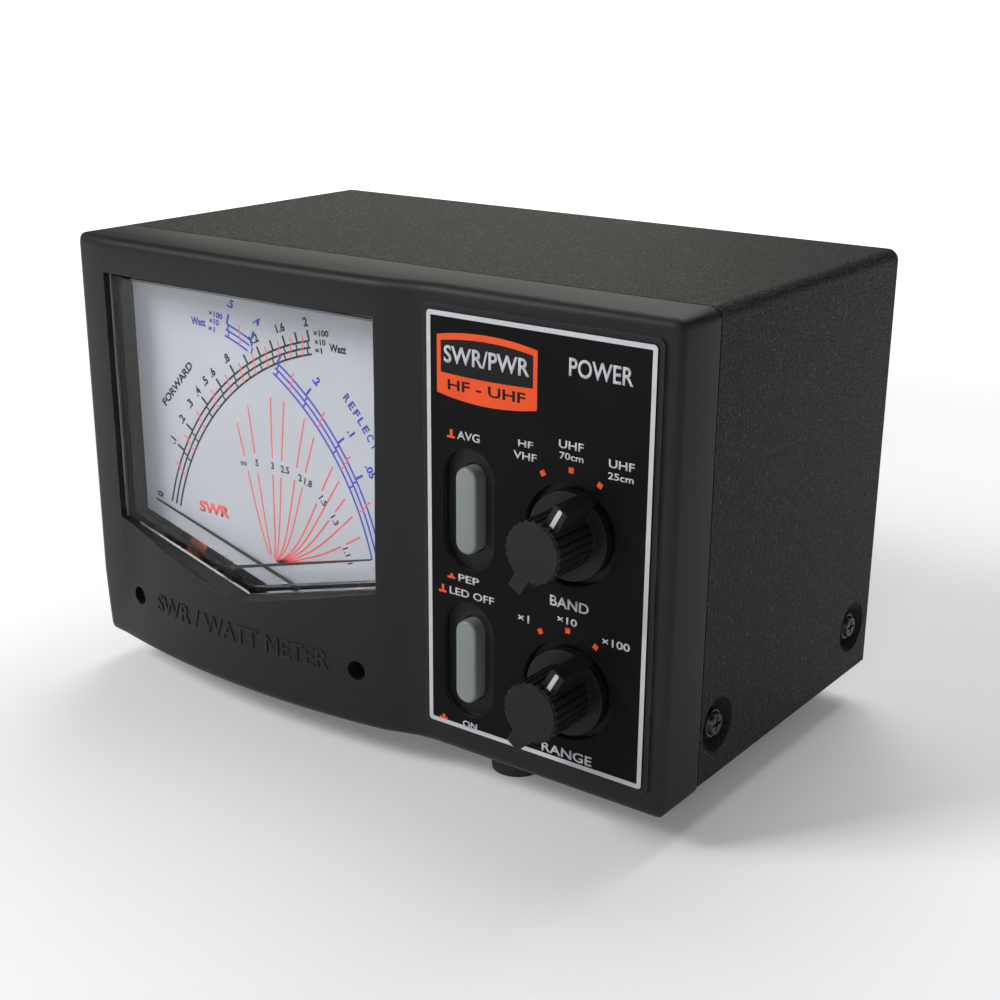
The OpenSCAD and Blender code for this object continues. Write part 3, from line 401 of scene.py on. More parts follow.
# finish by what it is made of: dark and light tone, roughness, grain, bump and its depth, cloud
finishes = {
    # the pale edge colours given below to the panel, black screws and knobs are painted edge highlight
    "panel": grainMaterial("panelPlastic", (0.010, 0.0102, 0.0112), (0.015, 0.0153, 0.0166), (0.42, 0.5),
                           5200, 0.25, 0.00005, 22, edgeHighlight=(0.04, 0.04, 0.042), rounding=0.0003, specular=0.2),
    "label": grainMaterial("labelFilm", (0.0035, 0.0035, 0.004), (0.006, 0.006, 0.007), (0.42, 0.5),
                           7000, 0.06, 0.00002, specular=0.06),
    "cover": leatherMaterial("coverVinyl", coverLeather),
    "chassis": grainMaterial("chassisPaint", (0.010, 0.010, 0.011), (0.016, 0.016, 0.017), (0.4, 0.5),
                             2600, 0.3, 0.00005, specular=0.3),
    "blackScrew": grainMaterial("blackScrew", (0.012, 0.012, 0.014), (0.03, 0.03, 0.032), (0.25, 0.4),
                                2500, 0.2, metal=0.7, edgeHighlight=(0.12, 0.12, 0.12), rounding=0.0002),
    "rubber": grainMaterial("footRubber", (0.010, 0.010, 0.010), (0.018, 0.018, 0.018), (0.6, 0.75),
                            3000, 0.4, 0.00006),
    "brightScrew": grainMaterial("brightScrew", (0.5, 0.5, 0.48), (0.66, 0.66, 0.64), (0.25, 0.4),
                                 2500, 0.1, metal=1.0),
    "blackPlastic": grainMaterial("blackPlastic", (0.008, 0.008, 0.008), (0.012, 0.012, 0.012), (0.55, 0.65),
                                  bump=0.03, specular=0.2),
    # white dial enamel darkened to grey: painted shade for the dim light behind the frame and window
    "dial": grainMaterial("dialEnamelGreyedForShade", (0.34, 0.35, 0.38), (0.38, 0.39, 0.42), (0.5, 0.6),
                          6000, 0.05, cloud=18),
    "aluminium": grainMaterial("plainAluminium", (0.5, 0.5, 0.5), (0.62, 0.62, 0.61), (0.3, 0.45), metal=1.0),
    "brass": grainMaterial("plainBrass", (0.5, 0.34, 0.13), (0.66, 0.47, 0.2), (0.25, 0.4), metal=1.0),
    "copper": grainMaterial("coilEnamel", (0.42, 0.12, 0.03), (0.66, 0.22, 0.07), (0.2, 0.3), metal=0.8),
    "steel": grainMaterial("platedSteel", (0.42, 0.42, 0.42), (0.56, 0.56, 0.55), (0.3, 0.45), metal=1.0),
    "iron": grainMaterial("coreIron", (0.16, 0.16, 0.17), (0.24, 0.24, 0.25), (0.4, 0.55), metal=0.8),
    "needle": grainMaterial("needleBlack", (0.008, 0.008, 0.008), (0.014, 0.014, 0.014), (0.45, 0.55),
                            specular=0.2),
    "knob": grainMaterial("knobPlastic", (0.008, 0.008, 0.009), (0.013, 0.013, 0.014), (0.32, 0.4),
                          4200, 0.12, edgeHighlight=(0.03, 0.03, 0.032), rounding=0.0003, specular=0.18),
    "key": grainMaterial("keyPlastic", (0.17, 0.19, 0.19), (0.2, 0.225, 0.22), (0.38, 0.46), 4200, 0.12),
    "board": grainMaterial("boardResist", (0.01, 0.10, 0.035), (0.015, 0.14, 0.05), (0.3, 0.4)),
    "body": grainMaterial("switchPhenolic", (0.03, 0.03, 0.035), (0.05, 0.05, 0.055), (0.35, 0.5)),
    "lens": grainMaterial("ledLens", (0.75, 0.75, 0.68), (0.85, 0.85, 0.78), (0.25, 0.35)),
    "insulator": grainMaterial("whiteInsulator", (0.72, 0.7, 0.64), (0.8, 0.78, 0.72), (0.4, 0.5)),
    "lead": grainMaterial("leadSleeve", (0.22, 0.03, 0.03), (0.3, 0.04, 0.04), (0.4, 0.5)),
    "nickel": turnedMaterial("turnedNickel", (0.66, 0.64, 0.6), 0.3),
    "window": clearMaterial("clearWindow", (0.97, 0.985, 0.99), rough=(0.0, 0.02), bend=1.22),
    "whiteInk": grainMaterial("whiteInk", (0.47, 0.48, 0.51), (0.54, 0.55, 0.58), (0.45, 0.55),
                              cloud=200, specular=0.2),
    "orangeInk": grainMaterial("orangeInk", (0.70, 0.07, 0.012), (0.78, 0.085, 0.016), (0.4, 0.5),
                               cloud=200, specular=0.2),
    "blackInk": grainMaterial("blackInk", (0.005, 0.005, 0.006), (0.009, 0.009, 0.010), (0.5, 0.6),
                              cloud=200, specular=0.15),
    "redInk": grainMaterial("redInk", (0.62, 0.06, 0.045), (0.7, 0.08, 0.06), (0.5, 0.6), cloud=200),
    "blueInk": grainMaterial("blueInk", (0.012, 0.028, 0.34), (0.02, 0.04, 0.4), (0.5, 0.6),
                             cloud=200, specular=0.2),
}
print("finishes made:", len(finishes))

nodeFinish = {
    "front_panel": "panel", "control_label": "label", "cover": "cover", "chassis": "chassis",
    "cover_screws": "blackScrew", "panel_screws": "blackScrew", "rubber_feet": "rubber",
    "foot_screws": "brightScrew", "meter_window": "window", "dial_frame": "blackPlastic",
    "dial_plate": "dial", "meter_case": "blackPlastic", "meter_screws": "brightScrew",
    "movement_frame": "aluminium", "lamp_board": "board", "lamp_leds": "lens", "band_knob": "knob",
    "range_knob": "knob", "band_shaft": "aluminium", "range_shaft": "aluminium", "band_switch": "body",
    "range_switch": "body", "switch_nuts": "brass", "control_bracket": "steel",
    "bracket_screws": "brightScrew", "avg_pep_button": "key", "led_button": "key", "push_switches": "body",
    "button_springs": "steel", "main_board": "board", "board_parts": "body", "board_spacers": "brass",
    "hf_coupler_box": "steel", "uhf_coupler_box": "steel", "through_lines": "brass", "hf_sockets": "nickel",
    "uhf_sockets": "nickel", "socket_insulators": "insulator", "socket_contacts": "brass",
    "socket_screws": "brightScrew", "dc_jack": "blackPlastic", "wiring": "lead",
}
movementFinish = {"yoke": "steel", "core": "iron", "bridge": "brass", "staff": "steel",
                  "coil": "copper", "needle": "needle", "hairspring": "brass", "zero_arm": "brass",
                  "zero_screw": "blackPlastic"}
for name, node in nodes.items():
    key = nodeFinish.get(name) or movementFinish[name.split("_", 1)[1]]
    node.data.materials.clear()
    node.data.materials.append(finishes[key])
print("frame nodes finished")


# turns a bmesh into a finished piece on its body
def finishPiece(name, bm, finish, body, smooth=None):
    mesh = bpy.data.meshes.new(name)
    if smooth is not None:
        for f in bm.faces:
            f.smooth = True
        for e in bm.edges:
            e.smooth = len(e.link_faces) == 2 and e.calc_face_angle(0) < math.radians(smooth)
    bm.to_mesh(mesh)
    bm.free()
    for key in [finish] if isinstance(finish, str) else finish:
        mesh.materials.append(finishes[key])
    ob = bpy.data.objects.new(name, mesh)
    bpy.context.collection.objects.link(ob)
    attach(ob, body)
    return ob


# a welded copy of a CAD node with its flat faces joined and its edges rounded
def roundedCopy(node, name, finish, body, width=0.0, steps=2, edgeAngle=60, smooth=32, keep=None):
    bm = bmesh.new()
    bm.from_mesh(nodes[node].data)
    bmesh.ops.remove_doubles(bm, verts=bm.verts, dist=2e-6)
    bmesh.ops.dissolve_limit(bm, angle_limit=math.radians(0.4), verts=bm.verts, edges=bm.edges)
    if width:
        edges = [e for e in bm.edges if len(e.link_faces) == 2 and e.is_convex
                 and e.calc_face_angle(0) > math.radians(edgeAngle) and (keep is None or keep(e))]
        bmesh.ops.bevel(bm, geom=edges, offset=width * mm, segments=steps, profile=0.5,
                        affect="EDGES", clamp_overlap=True)
    bmesh.ops.recalc_face_normals(bm, faces=bm.faces)
    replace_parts(finishPiece(name, bm, finish, body, smooth), node)


# gives flat print its own thickness, from its front face back
def thicken(bm, depth=0.03):
    made = bmesh.ops.extrude_face_region(bm, geom=list(bm.faces))
    behind = [g for g in made["geom"] if isinstance(g, bmesh.types.BMVert)]
    bmesh.ops.translate(bm, verts=behind, vec=(0, depth * mm, 0))
    bmesh.ops.recalc_face_normals(bm, faces=bm.faces)
    return bm


def faceFront(f):
    f.normal_update()
    if f.normal.y > 0:
        f.normal_flip()


# lettering as a mesh, its middle at the origin
def letterMesh(body, bold):
    curve = bpy.data.curves.new("lettering", "FONT")
    curve.body, curve.size = body, 1
    curve.offset = bold
    curve.resolution_u = 4
    ob = bpy.data.objects.new("lettering", curve)
    bpy.context.collection.objects.link(ob)
    bpy.context.view_layer.update()
    mesh = bpy.data.meshes.new_from_object(ob.evaluated_get(bpy.context.evaluated_depsgraph_get()))
    bpy.data.objects.remove(ob)
    xs = [v.co.x for v in mesh.vertices]
    ys = [v.co.y for v in mesh.vertices]
    mesh.transform(Matrix.Translation((-(min(xs) + max(xs)) / 2, -(min(ys) + max(ys)) / 2, 0)))
    return mesh, max(xs) - min(xs), max(ys) - min(ys)


# adds a word to a bmesh: centre, size over all and turn in degrees, on the plane y
def addWord(bm, body, x, z, wide, tall, y, turn=0.0, bold=0.02):
    mesh, w, h = letterMesh(body, bold)
    if wide is None:
        wide = w * tall / h
    c, s = math.cos(math.radians(turn)), math.sin(math.radians(turn))
    start = len(bm.verts)
    bm.from_mesh(mesh)
    bpy.data.meshes.remove(mesh)
    bm.verts.ensure_lookup_table()
    fresh = bm.verts[start:]
    for v in fresh:
        a, b = v.co.x * wide / w, v.co.y * tall / h
        v.co = at(x + a * c - b * s, y, z + a * s + b * c)
    for f in {f for v in fresh for f in v.link_faces}:
        faceFront(f)


# a box with round corners, n steps to each
def pillOutline(x, z, w, h, r, n):
    pts = []
    for cx, cz, a0 in ((w / 2 - r, h / 2 - r, 0), (-w / 2 + r, h / 2 - r, 90),
                       (-w / 2 + r, -h / 2 + r, 180), (w / 2 - r, -h / 2 + r, 270)):
        for i in range(n + 1):
            a = math.radians(a0 + 90 * i / n)
            pts.append((x + cx + r * math.cos(a), z + cz + r * math.sin(a)))
    return pts


# a flat ring between two outlines with the same number of points
def addRing(bm, outer, inner, y):
    a = [bm.verts.new(at(px, y, pz)) for px, pz in outer]
    b = [bm.verts.new(at(px, y, pz)) for px, pz in inner]
    for i in range(len(a)):
        k = (i + 1) % len(a)
        faceFront(bm.faces.new((a[i], a[k], b[k], b[i])))


# a flat shape inside an outline
def addShape(bm, pts, y):
    faceFront(bm.faces.new([bm.verts.new(at(px, y, pz)) for px, pz in pts]))


# a band of even width along a line of points
def addBand(bm, pts, width, y):
    left, right = [], []
    for i, (x, z) in enumerate(pts):
        x0, z0 = pts[max(i - 1, 0)]
        x1, z1 = pts[min(i + 1, len(pts) - 1)]
        d = math.hypot(x1 - x0, z1 - z0)
        nx, nz = -(z1 - z0) / d * width / 2, (x1 - x0) / d * width / 2
        left.append(bm.verts.new(at(x + nx, y, z + nz)))
        right.append(bm.verts.new(at(x - nx, y, z - nz)))
    for i in range(len(pts) - 1):
        faceFront(bm.faces.new((left[i], left[i + 1], right[i + 1], right[i])))


# case and front panel
roundedCopy("front_panel", "frontPanelShell", "panel", "case", smooth=38)
roundedCopy("cover", "coverSheet", "cover", "case", smooth=38)
print("case shells made")

chinLettering = {"words": "SWR / WATT METER", "middle": (-28.7, 11.6), "wide": 53.8, "tall": 4.2,
                 "proud": 0.22, "root": 0.3}


# raised lettering that follows the chin's curve
def makeChinLettering(v):
    shell = bmesh.new()
    shell.from_mesh(nodes["front_panel"].data)
    surface = BVHTree.FromBMesh(shell)
    shell.free()
    bm = bmesh.new()
    addWord(bm, v["words"], *v["middle"], v["wide"], v["tall"], 0, bold=0)
    for p in bm.verts:
        hit = surface.ray_cast(Vector((p.co.x, cadBounds[0][1], p.co.z)), Vector((0, 1, 0)))[0]
        p.co.y = hit.y - v["proud"] * mm
    finishPiece("chinLettering", thicken(bm, v["proud"] + v["root"]), "panel", "case")


makeChinLettering(chinLettering)


# print on the control label, in millimetres from the case's middle and the lower edge
labelPrint = {
    "low": (22.5, 4.1), "high": (73.2, 89.3), "border": 0.95, "margin": 0.02, "corner": 0.8,
    "innerCorner": 0.25, "lift": -0.03,
    "white": [
        ("AVG", 32.5, 65.9, 5.4, 1.65), ("PEP", 32.6, 36.85, 5.1, 1.55),
        ("LED OFF", 33.3, 33.75, 10.9, 1.6), ("ON", 32.9, 5.55, 3.6, 1.4),
        ("HF", 45.8, 66.85, 3.4, 1.3), ("VHF", 45.7, 64.5, 5.3, 1.5),
        ("UHF", 55.9, 68.35, 5.4, 1.6), ("70cm", 56.0, 66.2, 5.2, 1.35),
        ("UHF", 66.7, 66.6, 5.4, 1.6), ("25cm", 66.6, 64.3, 5.4, 1.35),
        ("BAND", 56.2, 37.45, 8.7, 2.1), ("×1", 45.8, 32.1, 2.7, 1.6), ("×10", 55.8, 34.05, 4.5, 1.5),
        ("×100", 66.7, 32.1, 6.1, 1.6), ("RANGE", 56.3, 6.4, 11.6, 2.0),
    ],
    "signs": [(28.3, 65.85, "out"), (26.1, 33.7, "out"), (28.3, 36.8, "in"), (26.2, 5.65, "in")],
    "signHeights": {"out": (-0.85, -0.4, 0.85), "in": (-0.55, -0.1, 0.5)},
    "signWidths": (-0.95, -0.25, 0.4, 0.95),
    "badge": {"middle": (36.6, 79.2), "wide": 23.2, "tall": 11.2, "bulges": (1.15, 1.2),
              "field": (1.5, 21.3, 6.1, 0.9, 0.3), "words": ("SWR/PWR", 2.1, 19.8, 3.4),
              "below": ("HF - UHF", -3.75, 18, 2.05)},
    "maker": ("POWER", 61.8, 82.9, 13.5, 3.4),
    "dots": {"radius": 12.5, "size": 1.1, "step": 30},
}


# a box whose upper and lower edges bulge outwards
def barrel(x, z, w, h, topBulge, lowBulge, n=16):
    share = [(2 * i / n - 1, 1 - (2 * i / n - 1) ** 2) for i in range(n + 1)]
    top = [(x + w / 2 * u, z + h / 2 + topBulge * v) for u, v in share]
    return top + [(x + w / 2 * u, z - h / 2 - lowBulge * v) for u, v in reversed(share)]


def makeLabelPrint(v):
    lift = v["lift"]
    (x0, z0), (x1, z1) = v["low"], v["high"]
    mx, mz, w, h = (x0 + x1) / 2, (z0 + z1) / 2, x1 - x0, z1 - z0
    ink = bmesh.new()
    m, t = v["margin"], v["border"]
    addRing(ink, pillOutline(mx, mz, w - 2 * m, h - 2 * m, v["corner"], 6),
            pillOutline(mx, mz, w - 2 * t, h - 2 * t, v["innerCorner"], 6), lift)
    for body, x, z, wide, tall in v["white"]:
        addWord(ink, body, x, z, wide, tall, lift, bold=0.018)
    addWord(ink, *v["maker"], lift, bold=0.015)
    b = v["badge"]
    bx, bz = b["middle"]
    body, rise, wide, tall = b["words"]
    addWord(ink, body, bx, bz + rise, wide, tall, lift * 3)
    finishPiece("labelWhitePrint", thicken(ink), "whiteInk", "case")
    orange = bmesh.new()
    addShape(orange, barrel(bx, bz, b["wide"], b["tall"], *b["bulges"]), lift)
    x0, x1, x2, x3 = v["signWidths"]
    for x, z, kind in v["signs"]:
        low, bar, top = v["signHeights"][kind]
        addShape(orange, [(x + dx, z + dz) for dx, dz in (
            (x0, low), (x3, low), (x3, bar), (x2, bar), (x2, top), (x1, top), (x1, bar), (x0, bar))], lift)
    finishPiece("labelOrangePrint", thicken(orange), "orangeInk", "case")
    black = bmesh.new()
    rise, *field = b["field"]
    addShape(black, barrel(bx, bz + rise, *field), lift * 2)
    body, rise, wide, tall = b["below"]
    addWord(black, body, bx, bz + rise, wide, tall, lift * 2, bold=0.015)
    finishPiece("badgeBlackPrint", thicken(black), "blackInk", "case")


makeLabelPrint(labelPrint)

rearPrint = {"tall": 2.4, "lift": 0.03,
             "words": [("TX", 24, 82), ("ANT", -24, 82), ("HF / VHF", 0, 66), ("TX", 24, 43),
                       ("ANT", -24, 43), ("UHF", 0, 27), ("12V DC", 62, 36.5)]}


# socket names on the rear panel, made in front and turned round
def makeRearPrint(v):
    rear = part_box("chassis")[1][1] + v["lift"] * mm
    bm = bmesh.new()
    for body, x, z in v["words"]:
        addWord(bm, body, -x, z, None, v["tall"], (-rear - faceY) / mm, bold=0.015)
    thicken(bm)
    bmesh.ops.rotate(bm, verts=bm.verts, matrix=Matrix.Rotation(math.pi, 3, "Z"))
    finishPiece("rearPrint", bm, "whiteInk", "case")


makeRearPrint(rearPrint)
print("label and rear panel printed")


# a Geometry Nodes tree with named inputs, and the identifiers of those inputs
def nodeTree(name, inputs):
    tree = bpy.data.node_groups.new(name, "GeometryNodeTree")
    ids = {}
    for label, kind, value in inputs:
        s = tree.interface.new_socket(label, in_out="INPUT", socket_type=kind)
        if value is not None:
            s.default_value = value
        ids[label] = s.identifier
    tree.interface.new_socket("Geometry", in_out="OUTPUT", socket_type="NodeSocketGeometry")
    return tree, tree.nodes.new("NodeGroupInput"), tree.nodes.new("NodeGroupOutput"), ids


# every tree ends in Realize Instances and Set Material
def endTree(tree, geometry, ink, gout):
    real = tree.nodes.new("GeometryNodeRealizeInstances")
    paint = tree.nodes.new("GeometryNodeSetMaterial")
    tree.links.new(geometry, real.inputs[0])
    tree.links.new(real.outputs[0], paint.inputs["Geometry"])
    tree.links.new(ink, paint.inputs["Material"])
    tree.links.new(paint.outputs[0], gout.inputs[0])


# short marks along a dial's arc; the angle grows with a power of the value
def markTree():
    num = "NodeSocketFloat"
    tree, gin, gout, ids = nodeTree("dialMarks", [
        ("Count", "NodeSocketInt", 10), ("First", num, 0.1), ("Step", num, 0.1), ("Power", num, 0.5),
        ("Span", num, 40), ("Zero", num, 15), ("Slip", num, 0), ("Inner", num, 60), ("Outer", num, 62),
        ("Width", num, 0.25), ("Side", num, 1), ("Ink", "NodeSocketMaterial", None)])
    i = gin.outputs
    g = tree.nodes.new
    line = g("GeometryNodeMeshLine")
    tree.links.new(i["Count"], line.inputs["Count"])
    index = g("GeometryNodeInputIndex").outputs[0]
    value = calc(tree, "ADD", i["First"], calc(tree, "MULTIPLY", index, i["Step"]))
    turned = calc(tree, "MULTIPLY", i["Span"], calc(tree, "POWER", value, i["Power"]))
    angle = calc(tree, "RADIANS", calc(tree, "SUBTRACT", calc(tree, "ADD", i["Zero"], turned), i["Slip"]))
    mid = calc(tree, "MULTIPLY", calc(tree, "ADD", i["Inner"], i["Outer"]), 0.5)
    place = g("ShaderNodeCombineXYZ")
    flip = calc(tree, "MULTIPLY", i["Side"], -1.0)
    out = calc(tree, "MULTIPLY", calc(tree, "COSINE", angle), mid)
    tree.links.new(calc(tree, "MULTIPLY", out, flip), place.inputs["X"])
    tree.links.new(calc(tree, "MULTIPLY", calc(tree, "SINE", angle), mid), place.inputs["Z"])
    setPlace = g("GeometryNodeSetPosition")
    tree.links.new(line.outputs[0], setPlace.inputs["Geometry"])
    tree.links.new(place.outputs[0], setPlace.inputs["Position"])
    bar = g("GeometryNodeMeshCube")
    size = g("ShaderNodeCombineXYZ")
    tree.links.new(calc(tree, "SUBTRACT", i["Outer"], i["Inner"]), size.inputs["X"])
    size.inputs["Y"].default_value = 0.02
    tree.links.new(i["Width"], size.inputs["Z"])
    tree.links.new(size.outputs[0], bar.inputs["Size"])
    turn = g("ShaderNodeCombineXYZ")
    tree.links.new(calc(tree, "MULTIPLY", angle, i["Side"]), turn.inputs["Y"])
    copies = g("GeometryNodeInstanceOnPoints")
    tree.links.new(setPlace.outputs[0], copies.inputs["Points"])
    tree.links.new(bar.outputs["Mesh"], copies.inputs["Instance"])
    tree.links.new(turn.outputs[0], copies.inputs["Rotation"])
    endTree(tree, copies.outputs[0], i["Ink"], gout)
    return tree, ids


# square loops of wire, side by side round a moving coil
def loopTree():
    num = "NodeSocketFloat"
    tree, gin, gout, ids = nodeTree("coilTurns", [
        ("Turns", "NodeSocketInt", 14), ("Half Length", num, 7.9), ("Front", num, 0.0), ("Back", num, 15.0),
        ("Wire", num, 0.17), ("Half Width", num, 2.3), ("Ink", "NodeSocketMaterial", None)])
    i = gin.outputs
    g = tree.nodes.new
    line = g("GeometryNodeMeshLine")
    tree.links.new(i["Turns"], line.inputs["Count"])
    index = g("GeometryNodeInputIndex").outputs[0]
    share = calc(tree, "DIVIDE", index, calc(tree, "SUBTRACT", i["Turns"], 1))
    spread = calc(tree, "SUBTRACT", calc(tree, "MULTIPLY", share, 2), 1)
    shift = calc(tree, "MULTIPLY", spread, i["Half Width"])
    place = g("ShaderNodeCombineXYZ")
    tree.links.new(shift, place.inputs["Z"])
    setPlace = g("GeometryNodeSetPosition")
    tree.links.new(line.outputs[0], setPlace.inputs["Geometry"])
    tree.links.new(place.outputs[0], setPlace.inputs["Position"])
    loop = g("GeometryNodeCurvePrimitiveQuadrilateral")
    tree.links.new(calc(tree, "MULTIPLY", i["Half Length"], 2), loop.inputs["Width"])
    tree.links.new(calc(tree, "SUBTRACT", i["Back"], i["Front"]), loop.inputs["Height"])
    soft = g("GeometryNodeFilletCurve")
    soft.mode = "POLY"
    soft.inputs["Radius"].default_value = 1.0
    soft.inputs["Count"].default_value = 4
    tree.links.new(loop.outputs[0], soft.inputs["Curve"])
    ring = g("GeometryNodeCurvePrimitiveCircle")
    ring.inputs["Resolution"].default_value = 6
    tree.links.new(i["Wire"], ring.inputs["Radius"])
    tube = g("GeometryNodeCurveToMesh")
    tree.links.new(soft.outputs[0], tube.inputs["Curve"])
    tree.links.new(ring.outputs[0], tube.inputs["Profile Curve"])
    copies = g("GeometryNodeInstanceOnPoints")
    tree.links.new(setPlace.outputs[0], copies.inputs["Points"])
    tree.links.new(tube.outputs[0], copies.inputs["Instance"])
    endTree(tree, copies.outputs[0], i["Ink"], gout)
    return tree, ids


# a right-hand screw thread: one ridge with a pointed section, wound round Z
def threadTree():
    num = "NodeSocketFloat"
    tree, gin, gout, ids = nodeTree("screwThread", [
        ("Turns", num, 10.0), ("Pitch", num, 1.0), ("Radius", num, 8.0), ("Ridge", num, 0.25),
        ("Ink", "NodeSocketMaterial", None)])
    i = gin.outputs
    g = tree.nodes.new
    spiral = g("GeometryNodeCurveSpiral")
    spiral.inputs["Resolution"].default_value = 48
    tree.links.new(i["Turns"], spiral.inputs["Rotations"])
    tree.links.new(i["Radius"], spiral.inputs["Start Radius"])
    tree.links.new(i["Radius"], spiral.inputs["End Radius"])
    tree.links.new(calc(tree, "MULTIPLY", i["Turns"], i["Pitch"]), spiral.inputs["Height"])
    upright = g("GeometryNodeSetCurveNormal")
    upright.mode = "Z_UP"
    tree.links.new(spiral.outputs[0], upright.inputs["Curve"])
    section = g("GeometryNodeCurvePrimitiveCircle")
    section.inputs["Resolution"].default_value = 4
    tree.links.new(i["Ridge"], section.inputs["Radius"])
    ridge = g("GeometryNodeCurveToMesh")
    ridge.inputs["Fill Caps"].default_value = True
    tree.links.new(upright.outputs[0], ridge.inputs["Curve"])
    tree.links.new(section.outputs[0], ridge.inputs["Profile Curve"])
    endTree(tree, ridge.outputs[0], i["Ink"], gout)
    return tree, ids


# runs a tree and gives back its result as a plain mesh
def runTree(tree, ids, values):
    holder = bpy.data.objects.new("treeHolder", bpy.data.meshes.new("treeHolder"))
    bpy.context.collection.objects.link(holder)
    mod = holder.modifiers.new("tree", "NODES")
    mod.node_group = tree
    for label, value in values.items():
        mod[ids[label]] = value
    bpy.context.view_layer.update()
    deps = bpy.context.evaluated_depsgraph_get()
    mesh = bpy.data.meshes.new_from_object(holder.evaluated_get(deps))
    bpy.data.objects.remove(holder)
    return mesh


# print on the dial: angles in degrees above the horizontal, from the needles' pivots
pivotRight, pivotLeft = (-0.7, 17.2), (-56.7, 17.2)
dialSetup = {"shift": (0.5, 0.25), "lift": 0.02, "depth": 0.018, "markLift": 0.012, "bold": 0.035,
             "markWidths": (0.52, 0.4), "redWidths": (0.34, 0.3), "slips": (0.0, 0.5, 1.0),
             "redReach": (-0.1, 1.5)}
# marks are rows of count, first value and step
dialScales = {
    "forward": {"pivot": pivotRight, "side": 1, "radii": (58.1, 59.5, 60.9), "tip": 63.2, "zero": 14.5,
                "span": 43.4, "power": 0.514, "ink": "blackInk", "lineWidth": 0.46,
                "marks": [(2, 0.1, 0.1), (1, 0.4, 0.1), (8, 0.6, 0.2)],
                "redMarks": [(1, 0.05, 0.1), (1, 0.15, 0.1), (2, 0.3, 0.2), (7, 0.7, 0.2)]},
    "reflected": {"pivot": pivotLeft, "side": -1, "radii": (59.5, 60.9, 62.2), "tip": 64.5, "zero": 14.0,
                  "span": 87.5, "power": 0.559, "ink": "blueInk", "lineWidth": 0.44, "breakAt": 58.6,
                  "endWidth": 0.42, "marks": [(2, 0.05, 0.05), (4, 0.2, 0.1)],
                  "redMarks": [(1, 0.025, 0.1), (1, 0.075, 0.1), (1, 0.15, 0.1), (1, 0.25, 0.1),
                               (1, 0.45, 0.1)]},
}
# numbers with their values; words with place, width, height and turn
dialWords = {
    "labelRadius": {"forward": 64.9, "reflected": 67.0}, "labelTall": 1.95,
    "forward": [(".1", 0.1), (".2", 0.2), (".3", 0.3), (".4", 0.4), (".5", 0.5), (".6", 0.6), (".8", 0.8),
                ("1.2", 1.2), ("1.6", 1.6), ("2", 2.0), ("0", 0.0)],
    "reflected": [(".05", 0.05), (".1", 0.1), (".2", 0.2), (".4", 0.4), (".5", 0.5)],
    "black": [("FORWARD", -55.6, 61.0, 14.4, 1.85, 48), ("×100", -11.6, 78.4, 4.2, 1.3, 6),
              ("×10", -11.9, 76.5, 3.0, 1.25, 6), ("×1", -12.4, 74.7, 2.0, 1.2, 6),
              ("Watt", -7.1, 75.8, 4.6, 1.75, 0)],
    "blue": [("×100", -42.2, 78.4, 4.2, 1.3, -6), ("×10", -42.8, 76.8, 3.0, 1.25, -6),
             ("×1", -43.7, 75.1, 2.0, 1.2, -6), ("Watt", -47.7, 76.2, 4.5, 1.75, 0)],
    # letters set one by one: radius, first angle, step, width and height
    "arcWord": ("REFLECTED", 71.0, 43.2, 1.56, 1.35, 1.9),
    "red": [("SWR", -45.8, 33.3, 9.6, 2.7, 0)],
}
# SWR lines: ratio, the forward angle at their end, where their number stands, the number
swrLines = {
    "ends": [(9.5, 46.0, (-35.8, 46.0), "oo"), (5, 52.0, (-31.7, 46.9), "5"),
             (3, 60.1, (-27.0, 47.1), "3"), (2.5, 63.9, (-23.3, 46.9), "2.5"),
             (2, 68.9, (-18.9, 45.9), "2"), (1.8, 70.3, (-16.6, 45.2), "1.8"),
             (1.5, 75.2, (-12.4, 42.0), "1.5"), (1.4, 77.0, None, ""),
             (1.3, 78.4, (-9.2, 38.3), "1.3"), (1.2, 81.5, None, ""),
             (1.1, 85.7, (-6.1, 31.8), "1.1"), (1.0, 88.0, (-5.2, 29.4), "1")],
    "turns": {"1.5": -52, "1.3": -55, "1.1": -62, "1": -70, "1.8": -12}, "tall": 1.6, "endlessTall": 0.9,
    "gap": 1.75, "width": 0.36, "start": 0.9, "steps": 60, "heart": (-28.7, 24.4), "heartSize": 1.6,
}


# the angle at which a scale shows a value
def reading(scale, value):
    return scale["zero"] + scale["span"] * value ** scale["power"]


def arcPoints(scale, radius, a0, a1, n=48):
    px, pz = scale["pivot"]
    return [(px - scale["side"] * radius * math.cos(math.radians(a0 + (a1 - a0) * i / n)),
             pz + radius * math.sin(math.radians(a0 + (a1 - a0) * i / n))) for i in range(n + 1)]


# where two pointers cross that stand at these angles
def crossing(aRight, aLeft):
    tr, tl = math.tan(math.radians(aRight)), math.tan(math.radians(aLeft))
    base = pivotRight[0] - pivotLeft[0]
    run = base * tr / (tr + tl)
    return pivotLeft[0] + run, pivotLeft[1] + run * tl


